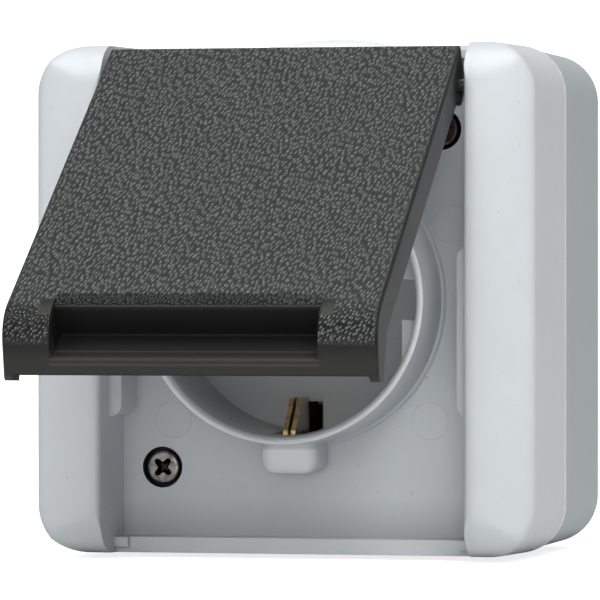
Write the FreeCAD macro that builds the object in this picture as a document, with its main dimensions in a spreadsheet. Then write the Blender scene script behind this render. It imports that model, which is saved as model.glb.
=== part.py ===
import FreeCAD, Part
import os
import math
import Sketcher

Vector = FreeCAD.Vector
Rotation = FreeCAD.Rotation
Placement = FreeCAD.Placement

# Outdoor surface-mounted socket outlet with a hinged, self-closing lid.
# Millimetres. X to the right, Z up, the wall at Y = 0 and the front towards -Y.
# The origin is the centre of the back face. Distances "from the wall" run along -Y.

SIZES = {
    # How far cutting outlines run past a piece, and the overlap where two outlines only touch
    "overrun": 5.0,
    "tiny": 0.01,
    # Cover: outline of its rear rim, how far that stands from the wall, and the draft to the front
    "cover_depth": 25.3,
    "seam_at": 31.2,
    "side_draft": 0.7,
    "end_draft": 0.4,
    "rim_width": 77.2,
    "rim_height": 77.0,
    "corner_radius": 7.5,
    "cover_wall": 2.2,
    "column_front": 5.0,
    "crown_radius": 20.0,
    "crown_span": 12.0,
    "end_roll": 6.8,
    "edge_radius": 0.8,
    # Recess between the two columns
    "recess_width": 55.4,
    "recess_depth": 13.9,
    "recess_floor": 2.4,
    "ledge_setback": 9.4,
    "ledge_thickness": 2.2,
    "inner_edge_radius": 0.9,
    # Plug cup with its collar
    "crest_setback": 0.6,
    "crest_radius": 21.35,
    "crest_round": 0.95,
    "crest_edge": 0.22,
    "collar_draft": 0.2,
    "cup_depth": 17.5,
    "cup_draft": 0.6,
    "cup_floor": 2.4,
    "collar_fillet": 0.6,
    "pin_spacing": 19.0,
    "pin_entry": 5.5,
    "land_chord": 18.0,
    "land_setback": 2.6,
    "land_reach": 9.6,
    "land_notch": 6.0,
    # Earth clip housings above and below the collar
    "clip_boss_width": 8.2,
    "clip_boss_reach": 26.0,
    "clip_boss_setback": 4.3,
    "clip_boss_round": 2.0,
    "clip_slot_width": 4.9,
    "clip_slot_reach": 24.4,
    "clip_slot_inner": 15.5,
    "clip_slot_setback": 5.8,
    # Guide ribs on the column walls and blocks at the ledge ends
    "guide_thickness": 2.0,
    "guide_top": 7.8,
    "guide_bottom": 17.6,
    "guide_setback": 5.2,
    "guide_round": 1.8,
    "block_width": 2.2,
    "block_height": 1.5,
    "block_proud": 1.2,
    # Cover screws, lower left and upper right
    "screw_x": 21.6,
    "screw_z": 25.5,
    "screw_head_diameter": 5.2,
    "screw_head_height": 2.0,
    "screw_shank": 3.5,
    "screw_hole": 4.0,
    "screw_clearance": 0.3,
    "screw_counterbore": 6.2,
    "screw_counterbore_depth": 3.0,
    "screw_boss": 9.6,
    "screw_length": 24.0,
    "screw_head_round": 0.5,
    "recess_slot": 0.9,
    "recess_slot_share": 0.32,
    "recess_slot_depth": 1.1,
    "screw_seal_height": 0.8,
    "screw_seal_clearance": 0.1,
    "insert_diameter": 5.0,
    "insert_length": 8.0,
    "boss_gap": 0.3,
    "boss_length": 7.8,
    # Rear box: how far its outline stands inside the rim of the cover, and its walls
    "side_step": 0.4,
    "end_step": 0.2,
    "box_wall": 2.6,
    "box_floor": 2.6,
    "box_edge_radius": 1.2,
    "seam_gap": 0.4,
    "gasket_width": 1.1,
    "gasket_depth": 1.0,
    "gasket_clearance": 0.05,
    "lip_root": 3.0,
    "lip_width": 1.2,
    "lip_height": 2.0,
    "lip_clearance": 0.3,
    "post_diameter": 8.4,
    "post_hole_floor": 5.2,
    "carrier_post": 7.0,
    "wall_screw_x": 27.0,
    "wall_screw_z": 24.0,
    "wall_hole": 4.5,
    "entry_diameter": 20.5,
    "entry_forward": 0.1,
    "knockout_web": 0.9,
    "knockout_groove": 0.8,
    # Membrane grommet of the cable entry
    "grommet_flange": 23.6,
    "grommet_flange_height": 0.8,
    "grommet_neck": 20.3,
    "grommet_dome": 1.3,
    "grommet_wall": 1.6,
    "grommet_web": 0.6,
    "grommet_play": 0.1,
    "grommet_bead": 0.8,
    # Lid, sizes along and across its face
    "lid_gap": 0.9,
    "lid_overhang": 0.25,
    "lid_plate": 1.8,
    "lid_skirt": 1.4,
    "skirt_depth": 5.35,
    "lid_roll_radius": 5.8,
    "lid_end_tilt": 66.4,
    "lip_depth": 7.4,
    "lip_front": 5.2,
    "lip_band": 0.5,
    "lip_turn": 1.2,
    "lip_turn_rise": 0.4,
    "lip_web": 2.6,
    "foot_depth": 9.9,
    "foot_rise": 2.2,
    "foot_reach": 7.9,
    "pocket_reach": 7.4,
    "pocket_height": 3.3,
    "pocket_depth": 6.0,
    "pocket_width": 38.3,
    "pocket_offset": -0.8,
    "pocket_roll": 1.5,
    "block_reach": 10.6,
    "pocket_draft": 1.4,
    "pocket_lean": 0.4,
    "lid_edge_radius": 0.5,
    "lid_top_radius": 0.9,
    "lid_corner_radius": 1.3,
    "gusset_width": 3.1,
    "gusset_depth": 9.7,
    "gusset_sheet": 1.2,
    "saddle_drop": 0.8,
    "saddle_end": 33.0,
    "open_angle": 55.6,
    # Lid hinge
    "hinge_setback": 2.3,
    "hinge_from_top": 6.5,
    "hinge_inset": 4.39,
    "hinge_drop": 4.7,
    "knuckle_radius": 3.0,
    "knuckle_width": 3.4,
    "pin_diameter": 2.4,
    "pin_engagement": 3.0,
    "pin_clearance": 0.05,
    "pin_end_gap": 0.3,
    "pin_inner": 8.2,
    # Torsion spring on the left pin
    "spring_wire": 0.8,
    "spring_radius": 1.95,
    "spring_turn_gap": 0.1,
    "spring_turns": 6.5,
    "spring_play": 0.1,
    "spring_knee": 0.41,
    "spring_end": 0.9,
    # Lid seal
    "seal_width": 2.6,
    "seal_height": 0.9,
    "seal_seat": 0.2,
    "seal_clearance": 0.1,
    # Contact carrier
    "carrier_gap": 0.4,
    "carrier_width": 40.0,
    "carrier_height": 32.0,
    "carrier_depth": 17.0,
    "carrier_plate": 2.0,
    "carrier_round": 2.0,
    "ear_root": 15.0,
    "ear_width": 62.0,
    "ear_height": 10.0,
    "ear_thickness": 4.0,
    "carrier_screw_x": 26.0,
    "carrier_screw_z": 9.0,
    "carrier_screw_head": 5.5,
    "carrier_screw_shank": 3.0,
    "carrier_screw_length": 10.0,
    "plate_screw_x": 14.0,
    "plate_screw_z": 11.5,
    "plate_screw_shank": 2.5,
    "plate_screw_length": 7.0,
    "plate_screw_head": 4.6,
    "plate_screw_head_height": 1.6,
    "carrier_front_wall": 2.6,
    # Contacts, terminals and earth strap
    "contact_clearance": 0.3,
    "contact_sheet": 0.8,
    "contact_bore": 4.7,
    "contact_length": 14.2,
    "contact_slit": 1.0,
    "strip_width": 5.0,
    "terminal_x": 16.2,
    "terminal_width": 6.6,
    "terminal_height": 7.5,
    "terminal_head": 4.8,
    "terminal_head_height": 1.9,
    "terminal_shank": 3.0,
    "terminal_screw_length": 4.0,
    "wire_hole": 2.8,
    "wire_hole_at": 4.6,
    "earth_terminal_z": 8.6,
    "strap_width": 5.0,
    "strap_sheet": 0.8,
    "clip_outer": 20.4,
    "clip_inner": 14.8,
    "clip_front_setback": 6.2,
    "clip_nose_setback": 9.6,
    "leaf_gap": 0.5,
    "leaf_sheet": 0.7,
    "leaf_tip": 0.8,
    "leaf_nose": 1.3,
    "leaf_shoulder": 0.4,
    "leaf_rear_gap": 2.9,
    "strap_shoulder": 14.0,
}

# Places and lengths worked out from the sizes
FRONT = "(dims.seam_at + dims.cover_depth)"
FRONT_WIDTH = "(dims.rim_width - 2 * dims.side_draft)"
FRONT_HEIGHT = "(dims.rim_height - 2 * dims.end_draft)"
BOX_WIDTH = "(dims.rim_width - 2 * dims.side_step)"
BOX_HEIGHT = "(dims.rim_height - 2 * dims.end_step)"
BOX_FRONT = "(dims.seam_at - dims.seam_gap)"
RECESS_AT = f"({FRONT} - dims.recess_depth)"
RECESS_BACK_AT = f"({RECESS_AT} - dims.recess_floor)"
CREST_AT = f"({FRONT} - dims.crest_setback)"
CUP_FLOOR_AT = f"({CREST_AT} - dims.cup_depth)"
CUP_BACK_AT = f"({CUP_FLOOR_AT} - dims.cup_floor)"
BOSS_TIP_AT = f"({RECESS_BACK_AT} - dims.boss_length)"
ENTRY_AT = f"({BOX_FRONT} / 2 + dims.entry_forward)"
HINGE_AT = f"({FRONT} - dims.hinge_setback)"
HINGE_HEIGHT = f"({FRONT_HEIGHT} / 2 - dims.hinge_from_top)"
LID_WIDTH = "(dims.recess_width - 2 * dims.lid_gap)"
LID_LENGTH = f"({HINGE_HEIGHT} + dims.hinge_drop + {FRONT_HEIGHT} / 2 + dims.lid_overhang)"
FOOT_START = f"({LID_LENGTH} - dims.foot_reach)"
POCKET_TOP = f"({LID_LENGTH} - dims.pocket_reach)"
BLOCK_TOP = f"({LID_LENGTH} - dims.block_reach)"

doc = FreeCAD.newDocument("weatherproof_socket")
sheet = doc.addObject("Spreadsheet::Sheet", "dims")
for row, (alias, size) in enumerate(SIZES.items(), start=1):
    sheet.set(f"A{row}", alias)
    sheet.set(f"B{row}", str(size))
    sheet.setAlias(f"B{row}", alias)
doc.recompute()


SCREW_PLACES = (("-dims.screw_x", "-dims.screw_z"), ("dims.screw_x", "dims.screw_z"))
EAR_PLACES = (("-dims.carrier_screw_x", "dims.carrier_screw_z"),
              ("dims.carrier_screw_x", "-dims.carrier_screw_z"))
PLATE_PLACES = (("-dims.plate_screw_x", "dims.plate_screw_z"), ("dims.plate_screw_x", "-dims.plate_screw_z"))
PIN_PLACES = (("-dims.pin_spacing / 2", "0"), ("dims.pin_spacing / 2", "0"))


# Torsion spring on the left pin: where its ends reach the lid's knuckle and the recess floor
SPRING_LEFT = f"(dims.knuckle_width - {LID_WIDTH} / 2 + dims.spring_wire)"
SPRING_RIGHT = f"({SPRING_LEFT} + (dims.spring_wire + dims.spring_turn_gap) * dims.spring_turns)"
SPRING_HOLE = "(dims.spring_wire / 2 + dims.spring_play)"
SPRING_TAIL = "(90 deg + dims.open_angle * 1 deg)"


def number(expression):
    """The value in millimetres of an expression over the sheet."""
    result = sheet.evalExpression(expression)
    return float(getattr(result, "Value", result))


def plane_of(body, role):
    """One of the body's own origin planes."""
    for feature in body.Origin.OriginFeatures:
        if feature.Role == role:
            return feature
    raise ValueError(role)


def new_body(label):
    body = doc.addObject("PartDesign::Body", label)
    body.Label = label
    return body


def new_sketch(body, plane, offset="0"):
    """A sketch on an origin plane, moved along the plane's normal by the offset."""
    sketch = body.newObject("Sketcher::SketchObject", body.Label + "_sketch")
    sketch.AttachmentSupport = [(plane_of(body, plane), "")]
    sketch.MapMode = "FlatFace"
    sketch.setExpression("AttachmentOffset.Base.z", offset)
    return sketch


def constrain(sketch, constraint, expression):
    index = sketch.addConstraint(constraint)
    sketch.setExpression(f"Constraints[{index}]", expression)


def arc_between(start, end, radius, turn):
    """An arc from start to end that turns left or right, as Part keeps it: anticlockwise."""
    chord = end - start
    side = 1.0 if turn == "left" else -1.0
    normal = Vector(-chord.y, chord.x, 0).normalize() * side
    rise = math.sqrt(max(radius ** 2 - chord.Length ** 2 / 4, 0.0))
    centre = (start + end) / 2 + normal * rise
    first, last = (start, end) if turn == "left" else (end, start)
    begin = math.atan2(first.y - centre.y, first.x - centre.x)
    finish = math.atan2(last.y - centre.y, last.x - centre.x)
    if finish < begin:
        finish += 2 * math.pi
    return Part.ArcOfCircle(Part.Circle(centre, Vector(0, 0, 1), radius), begin, finish)


def draw(sketch, corners):
    """Closed outline. A corner is (x, y), or (x, y, radius, turn) where an arc leaves it."""
    points = [Vector(number(corner[0]), number(corner[1]), 0) for corner in corners]
    edges = []
    ends = []
    for index, corner in enumerate(corners):
        start = points[index]
        end = points[(index + 1) % len(points)]
        if len(corner) == 2:
            edges.append(sketch.addGeometry(Part.LineSegment(start, end), False))
            ends.append((1, 2))
            continue
        arc = arc_between(start, end, number(corner[2]), corner[3])
        edges.append(sketch.addGeometry(arc, False))
        ends.append((1, 2) if corner[3] == "left" else (2, 1))
    for index, corner in enumerate(corners):
        following = (index + 1) % len(corners)
        sketch.addConstraint(Sketcher.Constraint(
            "Coincident", edges[index], ends[index][1], edges[following], ends[following][0]))
    for index, corner in enumerate(corners):
        point = (-1, 1, edges[index], ends[index][0])
        constrain(sketch, Sketcher.Constraint("DistanceX", *point, points[index].x), corner[0])
        constrain(sketch, Sketcher.Constraint("DistanceY", *point, points[index].y), corner[1])
        if len(corner) > 2:
            constrain(sketch, Sketcher.Constraint("Radius", edges[index], number(corner[2])), corner[2])


def draw_circle(sketch, across, up, radius):
    centre = Vector(number(across), number(up), 0)
    circle = sketch.addGeometry(Part.Circle(centre, Vector(0, 0, 1), number(radius)), False)
    constrain(sketch, Sketcher.Constraint("DistanceX", -1, 1, circle, 3, centre.x), across)
    constrain(sketch, Sketcher.Constraint("DistanceY", -1, 1, circle, 3, centre.y), up)
    constrain(sketch, Sketcher.Constraint("Radius", circle, number(radius)), radius)


def rectangle(left, bottom, right, top):
    return [(left, bottom), (right, bottom), (right, top), (left, top)]


def rounded_rectangle(width, height, radius):
    """Corners of a rounded rectangle about the sketch's origin."""
    across = f"({width}) / 2"
    up = f"({height}) / 2"
    return [
        (f"-{across} + {radius}", f"-{up}"),
        (f"{across} - {radius}", f"-{up}", radius, "left"),
        (across, f"-{up} + {radius}"),
        (across, f"{up} - {radius}", radius, "left"),
        (f"{across} - {radius}", up),
        (f"-{across} + {radius}", up, radius, "left"),
        (f"-{across}", f"{up} - {radius}"),
        (f"-{across}", f"-{up} + {radius}", radius, "left"),
    ]


def extrude(body, kind, sketch, length, symmetric=False, backwards=False):
    """A Pad or Pocket of the sketch. A Pad follows the sketch's normal, a Pocket goes against it."""
    feature = body.newObject(f"PartDesign::{kind}", body.Label + "_" + kind.lower())
    feature.Profile = sketch
    feature.setExpression("Length", length)
    if symmetric:
        feature.SideType = "Symmetric"
    feature.Reversed = backwards
    doc.recompute()
    return feature


def pad(body, plane, offset, corners, length, **options):
    sketch = new_sketch(body, plane, offset)
    draw(sketch, corners)
    return extrude(body, "Pad", sketch, length, **options)


def pocket(body, plane, offset, corners, length, **options):
    sketch = new_sketch(body, plane, offset)
    draw(sketch, corners)
    return extrude(body, "Pocket", sketch, length, **options)


def bore(body, plane, offset, centres, radius, length, kind="Pocket", **options):
    """Round holes, or round bosses as a Pad, at the centres."""
    sketch = new_sketch(body, plane, offset)
    for across, up in centres:
        draw_circle(sketch, across, up, radius)
    return extrude(body, kind, sketch, length, **options)


def turned(body, kind, corners):
    """A Revolution or Groove about the Y axis of a half section drawn on the XY plane."""
    sketch = new_sketch(body, "XY_Plane")
    draw(sketch, corners)
    feature = body.newObject(f"PartDesign::{kind}", body.Label + "_" + kind.lower())
    feature.Profile = sketch
    feature.ReferenceAxis = (sketch, ["V_Axis"])
    feature.Angle = 360.0
    doc.recompute()
    return feature


def edges_within(feature, across=(-99, 99), along=(-99, 99), up=(-99, 99), accept=None):
    """Names of the edges whose box lies inside the given ranges of X, Y and Z."""
    names = []
    for index, edge in enumerate(feature.Shape.Edges, start=1):
        box = edge.BoundBox
        inside = (across[0] <= box.XMin and box.XMax <= across[1]
                  and along[0] <= box.YMin and box.YMax <= along[1]
                  and up[0] <= box.ZMin and box.ZMax <= up[1])
        if inside and (accept is None or accept(edge)):
            names.append(f"Edge{index}")
    return names


def fillet(body, feature, names, radius):
    rounding = body.newObject("PartDesign::Fillet", body.Label + "_fillet")
    rounding.Base = (feature, names)
    rounding.setExpression("Radius", radius)
    doc.recompute()
    return rounding


def runs_along(axis):
    """Accepts straight edges along X, Y or Z."""
    unit = {"X": Vector(1, 0, 0), "Y": Vector(0, 1, 0), "Z": Vector(0, 0, 1)}[axis]

    def accept(edge):
        if edge.Curve.TypeId != "Part::GeomLine":
            return False
        return abs(edge.tangentAt(edge.FirstParameter).dot(unit)) > 0.999
    return accept


# Front cover: two crowned columns, a recess between them and the plug cup
def cover_shell(body):
    """The outer form: drafted outline, rolled column ends and crowned column fronts."""
    rear = new_sketch(body, "XZ_Plane", "dims.seam_at")
    draw(rear, rounded_rectangle("dims.rim_width", "dims.rim_height", "dims.corner_radius"))
    front = new_sketch(body, "XZ_Plane", FRONT)
    draw(front, rounded_rectangle(FRONT_WIDTH, FRONT_HEIGHT, "dims.corner_radius"))
    loft = body.newObject("PartDesign::AdditiveLoft", "cover_loft")
    loft.Profile = rear
    loft.Sections = [front]
    doc.recompute()
    draft = f"((dims.rim_height - {FRONT_HEIGHT}) / 2 / ({FRONT} - dims.seam_at))"
    lean = f"sqrt(1 + {draft}^2)"
    roll_up = f"({FRONT_HEIGHT} / 2 + {draft} * dims.end_roll - dims.end_roll * {lean})"
    touch_along = f"(-{FRONT} + dims.end_roll - dims.end_roll * {draft} / {lean})"
    touch_up = f"({roll_up} + dims.end_roll / {lean})"
    beyond = f"({FRONT} + dims.overrun)"
    over = "(dims.rim_height / 2 + dims.overrun)"
    for sign, turn in (("", "right"), ("-", "left")):
        pocket(body, "YZ_Plane", "0", [
            (f"-{FRONT}", f"{sign}{roll_up}", "dims.end_roll", turn),
            (touch_along, f"{sign}{touch_up}"),
            (touch_along, f"{sign}{over}"),
            (f"-{beyond}", f"{sign}{over}"),
            (f"-{beyond}", f"{sign}{roll_up}"),
        ], "2 * dims.rim_width", symmetric=True)
    wall = "dims.recess_width / 2"
    start = "(dims.recess_width / 2 + dims.inner_edge_radius)"
    span = "(dims.recess_width / 2 + dims.inner_edge_radius + dims.crown_span)"
    fall = f"(-{FRONT} + dims.crown_radius - sqrt(dims.crown_radius^2 - dims.crown_span^2))"
    for sign, turn in (("", "left"), ("-", "right")):
        last = pocket(body, "XY_Plane", "0", [
            (f"{sign}{wall}", f"(dims.inner_edge_radius - {FRONT})", "dims.inner_edge_radius",
             turn),
            (f"{sign}{start}", f"-{FRONT}", "dims.crown_radius", turn),
            (f"{sign}{span}", fall),
            (f"{sign}{span}", f"-{beyond}"),
            (f"{sign}{wall}", f"-{beyond}"),
        ], "2 * dims.rim_height", symmetric=True)
    return last


def cover_edges(body, last):
    """Small radii on the outer edges of the column fronts."""
    outer = number(f"{FRONT_WIDTH} / 2 - dims.cover_wall")
    front = -number(f"{FRONT} - 2 * dims.edge_radius")
    rear = -number(f"{FRONT} - dims.end_roll - dims.overrun / 50")
    names = edges_within(last, along=(front, rear),
                         accept=lambda edge: edge.Curve.TypeId == "Part::GeomBSplineCurve"
                         and max(abs(edge.BoundBox.XMin), abs(edge.BoundBox.XMax)) > outer)
    fillet(body, last, names, "dims.edge_radius")


def cover_recess(body):
    """The recess runs through the full height, with a floor and two set-back end walls."""
    half = "dims.recess_width / 2"
    over = "(dims.rim_height / 2 + dims.overrun)"
    ledge_at = f"({FRONT} - dims.ledge_setback)"
    inside = f"({FRONT_HEIGHT} / 2 - dims.ledge_thickness)"
    pocket(body, "XZ_Plane", f"({FRONT} + dims.overrun)",
           rectangle(f"-{half}", f"-{over}", half, over), "dims.overrun + dims.ledge_setback")
    pocket(body, "XZ_Plane", ledge_at,
           rectangle(f"-{half}", f"-{inside}", half, inside),
           "dims.recess_depth - dims.ledge_setback")
    saddle = f"({FRONT_HEIGHT} / 2 - dims.saddle_drop)"
    pocket(body, "YZ_Plane", "0", [
        (f"-({FRONT} + dims.overrun)", saddle),
        (f"-{ledge_at}", saddle),
        ("-dims.saddle_end", "(dims.rim_height / 2 - dims.tiny)"),
        ("-dims.saddle_end", over),
        (f"-({FRONT} + dims.overrun)", over),
    ], "dims.recess_width", symmetric=True)


def cover_hollow(body):
    """Open from behind: one wide hollow behind the recess floor and one in each column."""
    wide = "(dims.rim_width - 2 * dims.cover_wall)"
    high = "(dims.rim_height - 2 * dims.cover_wall)"
    pocket(body, "XZ_Plane", "dims.seam_at",
           rounded_rectangle(wide, high, "(dims.corner_radius - dims.cover_wall)"),
           f"{RECESS_BACK_AT} - dims.seam_at", backwards=True)
    inner = "(dims.recess_width / 2 + dims.cover_wall)"
    outer = f"({FRONT_WIDTH} / 2 - dims.cover_wall)"
    top = f"({FRONT_HEIGHT} / 2 - dims.end_roll)"
    for sign in ("", "-"):
        pocket(body, "XZ_Plane", RECESS_BACK_AT,
               rectangle(f"{sign}{inner}", f"-{top}", f"{sign}{outer}", top),
               f"{FRONT} - dims.column_front - {RECESS_BACK_AT}", backwards=True)


def cover_cup(body):
    """The collar with its rounded crest, the drafted cup wall and the cup floor."""
    for sign in ("", "-"):
        start = f"{sign}(dims.crest_radius - 3.6 * dims.crest_round)"
        last = pad(body, "XZ_Plane", RECESS_BACK_AT,
                   rectangle("-dims.clip_boss_width / 2", start,
                             "dims.clip_boss_width / 2", f"{sign}dims.clip_boss_reach"),
                   f"{FRONT} - dims.clip_boss_setback - {RECESS_BACK_AT}")
        reach = number("dims.clip_boss_reach")
        side = number("dims.clip_boss_width / 2")
        face = -number(f"{FRONT} - dims.clip_boss_setback")
        near = number("dims.tiny")
        limits = (reach - near, reach + near) if sign == "" else (-reach - near, -reach + near)
        names = edges_within(last, across=(-side - near, side + near),
                             along=(face - near, -number(RECESS_AT) + near), up=limits,
                             accept=runs_along("Y"))
        names += edges_within(last, across=(-side - near, side + near),
                              along=(face - near, face + near))
        last = fillet(body, last, names, "dims.clip_boss_round")
    crest = "dims.crest_radius"
    rounding = "dims.crest_round"
    edge = "dims.crest_edge"
    shoulder = f"-({CREST_AT} - {rounding})"
    outer_top = f"({crest} + {edge})"
    outer_foot = f"({crest} + {edge} + dims.collar_draft)"
    inner_top = f"({crest} - {rounding})"
    inner_foot = f"({inner_top} - dims.cup_draft)"
    turned(body, "Revolution", [
        ("0", f"-{CUP_FLOOR_AT}"),
        ("0", f"-{CUP_BACK_AT}"),
        (outer_foot, f"-{CUP_BACK_AT}"),
        (outer_foot, f"-{RECESS_BACK_AT}"),
        (f"({outer_foot} + dims.collar_fillet)", f"-{RECESS_BACK_AT}"),
        (f"({outer_foot} + dims.collar_fillet)", f"-{RECESS_AT}", "dims.collar_fillet", "right"),
        (outer_foot, f"-({RECESS_AT} + dims.collar_fillet)"),
        (outer_top, f"-({CREST_AT} - {edge})", edge, "right"),
        (crest, f"-{CREST_AT}", rounding, "right"),
        (inner_top, shoulder),
        (inner_foot, f"-{CUP_FLOOR_AT}"),
    ])
    turned(body, "Groove", [
        ("0", f"-{CUP_FLOOR_AT}"),
        ("0", f"-({FRONT} + dims.overrun)"),
        (inner_top, f"-({FRONT} + dims.overrun)"),
        (inner_top, shoulder),
        (inner_foot, f"-{CUP_FLOOR_AT}"),
    ])


def cover_cup_details(body):
    """Guide lands at both sides of the cup, pin entries and the slots of the earth clips."""
    land_back = "sqrt(dims.crest_radius^2 - {up}^2)"
    for side in ("", "-"):
        for half in ("", "-"):
            near = "dims.land_notch / 2"
            far = "dims.land_reach"
            pad(body, "XZ_Plane", CUP_FLOOR_AT, [
                (f"{side}dims.land_chord", f"{half}{near}"),
                (f"{side}{land_back.format(up='(' + near + ')')}", f"{half}{near}"),
                (f"{side}{land_back.format(up=far)}", f"{half}{far}"),
                (f"{side}dims.land_chord", f"{half}{far}"),
            ], f"{FRONT} - dims.land_setback - {CUP_FLOOR_AT}")
    bore(body, "XZ_Plane", CUP_FLOOR_AT, PIN_PLACES, "dims.pin_entry / 2", "dims.cup_floor")
    for sign in ("", "-"):
        pocket(body, "XZ_Plane", CUP_BACK_AT,
               rectangle("-dims.clip_slot_width / 2", f"{sign}dims.clip_slot_inner",
                         "dims.clip_slot_width / 2", f"{sign}dims.clip_slot_reach"),
               f"{FRONT} - dims.clip_slot_setback - {CUP_BACK_AT}", backwards=True)


def cover_fittings(body):
    """Guide ribs, ledge blocks, screw bosses with their holes and the pivot holes of the lid."""
    wall = "(dims.recess_width / 2 + dims.cover_wall / 2)"
    face = "(dims.recess_width / 2 - dims.guide_thickness)"
    inner = f"({face} + dims.guide_round)"
    ledge_at = f"({FRONT} - dims.ledge_setback)"
    ledge_top = f"({FRONT_HEIGHT} / 2 - dims.ledge_thickness)"
    for side, turn in (("", "left"), ("-", "right")):
        pad(body, "XZ_Plane", RECESS_BACK_AT, [
            (f"{side}{wall}", "-dims.guide_bottom"),
            (f"{side}{wall}", "dims.guide_top"),
            (f"{side}{inner}", "dims.guide_top", "dims.guide_round", turn),
            (f"{side}{face}", "(dims.guide_top - dims.guide_round)"),
            (f"{side}{face}", "(-dims.guide_bottom + dims.guide_round)", "dims.guide_round", turn),
            (f"{side}{inner}", "-dims.guide_bottom"),
        ], f"{FRONT} - dims.guide_setback - {RECESS_BACK_AT}")
        pad(body, "XZ_Plane", f"{ledge_at} - dims.block_proud",
            rectangle(f"{side}(dims.recess_width / 2 - dims.block_width)",
                      f"-({ledge_top} + dims.block_height)",
                      f"{side}{wall}", f"-{ledge_top}"), "2 * dims.block_proud")
    bore(body, "XZ_Plane", BOSS_TIP_AT, SCREW_PLACES, "dims.screw_boss / 2",
         "dims.boss_length", kind="Pad")
    bore(body, "XZ_Plane", RECESS_AT, SCREW_PLACES, "dims.screw_hole / 2", f"{RECESS_AT} - dims.seam_at")
    bore(body, "XZ_Plane", RECESS_AT, SCREW_PLACES, "dims.screw_counterbore / 2",
         "dims.screw_counterbore_depth")
    spring = [(SPRING_RIGHT, f"({HINGE_HEIGHT} - dims.spring_radius)")]
    bore(body, "XZ_Plane", RECESS_AT, spring, SPRING_HOLE, "dims.spring_end + dims.spring_play")
    pivot = [(f"-{HINGE_AT}", HINGE_HEIGHT)]
    for side, along in (("", True), ("-", False)):
        bore(body, "YZ_Plane", f"{side}dims.recess_width / 2", pivot,
             "dims.pin_diameter / 2 + dims.pin_clearance",
             "dims.pin_engagement + dims.pin_end_gap", backwards=along)


def make_front_cover():
    body = new_body("front_cover")
    cover_edges(body, cover_shell(body))
    cover_recess(body)
    cover_hollow(body)
    cover_cup(body)
    cover_cup_details(body)
    cover_fittings(body)
    return body


# Rear box: the shell on the wall, with its posts, wall screw holes and cable entries
POST_TOP = f"({BOSS_TIP_AT} - dims.boss_gap)"
LIP_WIDTH = "(dims.rim_width - 2 * dims.cover_wall - 2 * dims.lip_clearance)"
LIP_HEIGHT = "(dims.rim_height - 2 * dims.cover_wall - 2 * dims.lip_clearance)"
LIP_CORNER = "(dims.corner_radius - dims.cover_wall - dims.lip_clearance)"
EAR_BACK = f"({CUP_BACK_AT} - dims.carrier_gap - dims.ear_thickness)"


def grown(expression, amount):
    return f"({expression} + 2 * ({amount}))"


def make_rear_box():
    body = new_body("rear_box")
    outline = rounded_rectangle(BOX_WIDTH, BOX_HEIGHT, "dims.corner_radius")
    last = pad(body, "XZ_Plane", "0", outline, BOX_FRONT)
    near = number("dims.tiny")
    fillet(body, last, edges_within(last, along=(-near, near)), "dims.box_edge_radius")
    pocket(body, "XZ_Plane", BOX_FRONT,
           rounded_rectangle(f"{BOX_WIDTH} - 2 * dims.box_wall", f"{BOX_HEIGHT} - 2 * dims.box_wall",
                             "(dims.corner_radius - dims.box_wall)"),
           f"{BOX_FRONT} - dims.box_floor")
    lip = new_sketch(body, "XZ_Plane", f"{BOX_FRONT} - dims.lip_root")
    draw(lip, rounded_rectangle(LIP_WIDTH, LIP_HEIGHT, LIP_CORNER))
    draw(lip, rounded_rectangle(grown(LIP_WIDTH, "-dims.lip_width"), grown(LIP_HEIGHT, "-dims.lip_width"),
                                f"({LIP_CORNER} - dims.lip_width)"))
    extrude(body, "Pad", lip, "dims.lip_root + dims.lip_height")
    groove = new_sketch(body, "XZ_Plane", BOX_FRONT)
    reach = "dims.gasket_width + 2 * dims.gasket_clearance"
    draw(groove, rounded_rectangle(LIP_WIDTH, LIP_HEIGHT, LIP_CORNER))
    draw(groove, rounded_rectangle(grown(LIP_WIDTH, reach), grown(LIP_HEIGHT, reach),
                                   f"({LIP_CORNER} + {reach})"))
    extrude(body, "Pocket", groove, "dims.gasket_depth")
    root = "dims.box_floor / 2"
    bore(body, "XZ_Plane", root, SCREW_PLACES, "dims.post_diameter / 2", f"{POST_TOP} - {root}", kind="Pad")
    bore(body, "XZ_Plane", POST_TOP, SCREW_PLACES, "dims.insert_diameter / 2", "dims.insert_length")
    bore(body, "XZ_Plane", POST_TOP, SCREW_PLACES, "dims.screw_shank / 2 + dims.screw_clearance",
         f"{POST_TOP} - dims.post_hole_floor")
    bore(body, "XZ_Plane", root, EAR_PLACES, "dims.carrier_post / 2", f"{EAR_BACK} - {root}", kind="Pad")
    bore(body, "XZ_Plane", EAR_BACK, EAR_PLACES, "dims.carrier_screw_shank / 2",
         "dims.carrier_screw_length")
    wall_holes = [("dims.wall_screw_x", "-dims.wall_screw_z"), ("-dims.wall_screw_x", "dims.wall_screw_z")]
    bore(body, "XZ_Plane", "dims.box_floor", wall_holes, "dims.wall_hole / 2", "dims.box_floor")
    entry = [("0", f"-{ENTRY_AT}")]
    bore(body, "XY_Plane", f"{BOX_HEIGHT} / 2", entry, "dims.entry_diameter / 2", "dims.box_wall")
    knockout = new_sketch(body, "XY_Plane", f"-{BOX_HEIGHT} / 2")
    draw_circle(knockout, *entry[0], "dims.entry_diameter / 2")
    draw_circle(knockout, *entry[0], "dims.entry_diameter / 2 - dims.knockout_groove")
    extrude(body, "Pocket", knockout, "dims.box_wall - dims.knockout_web", backwards=True)
    return body


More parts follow.
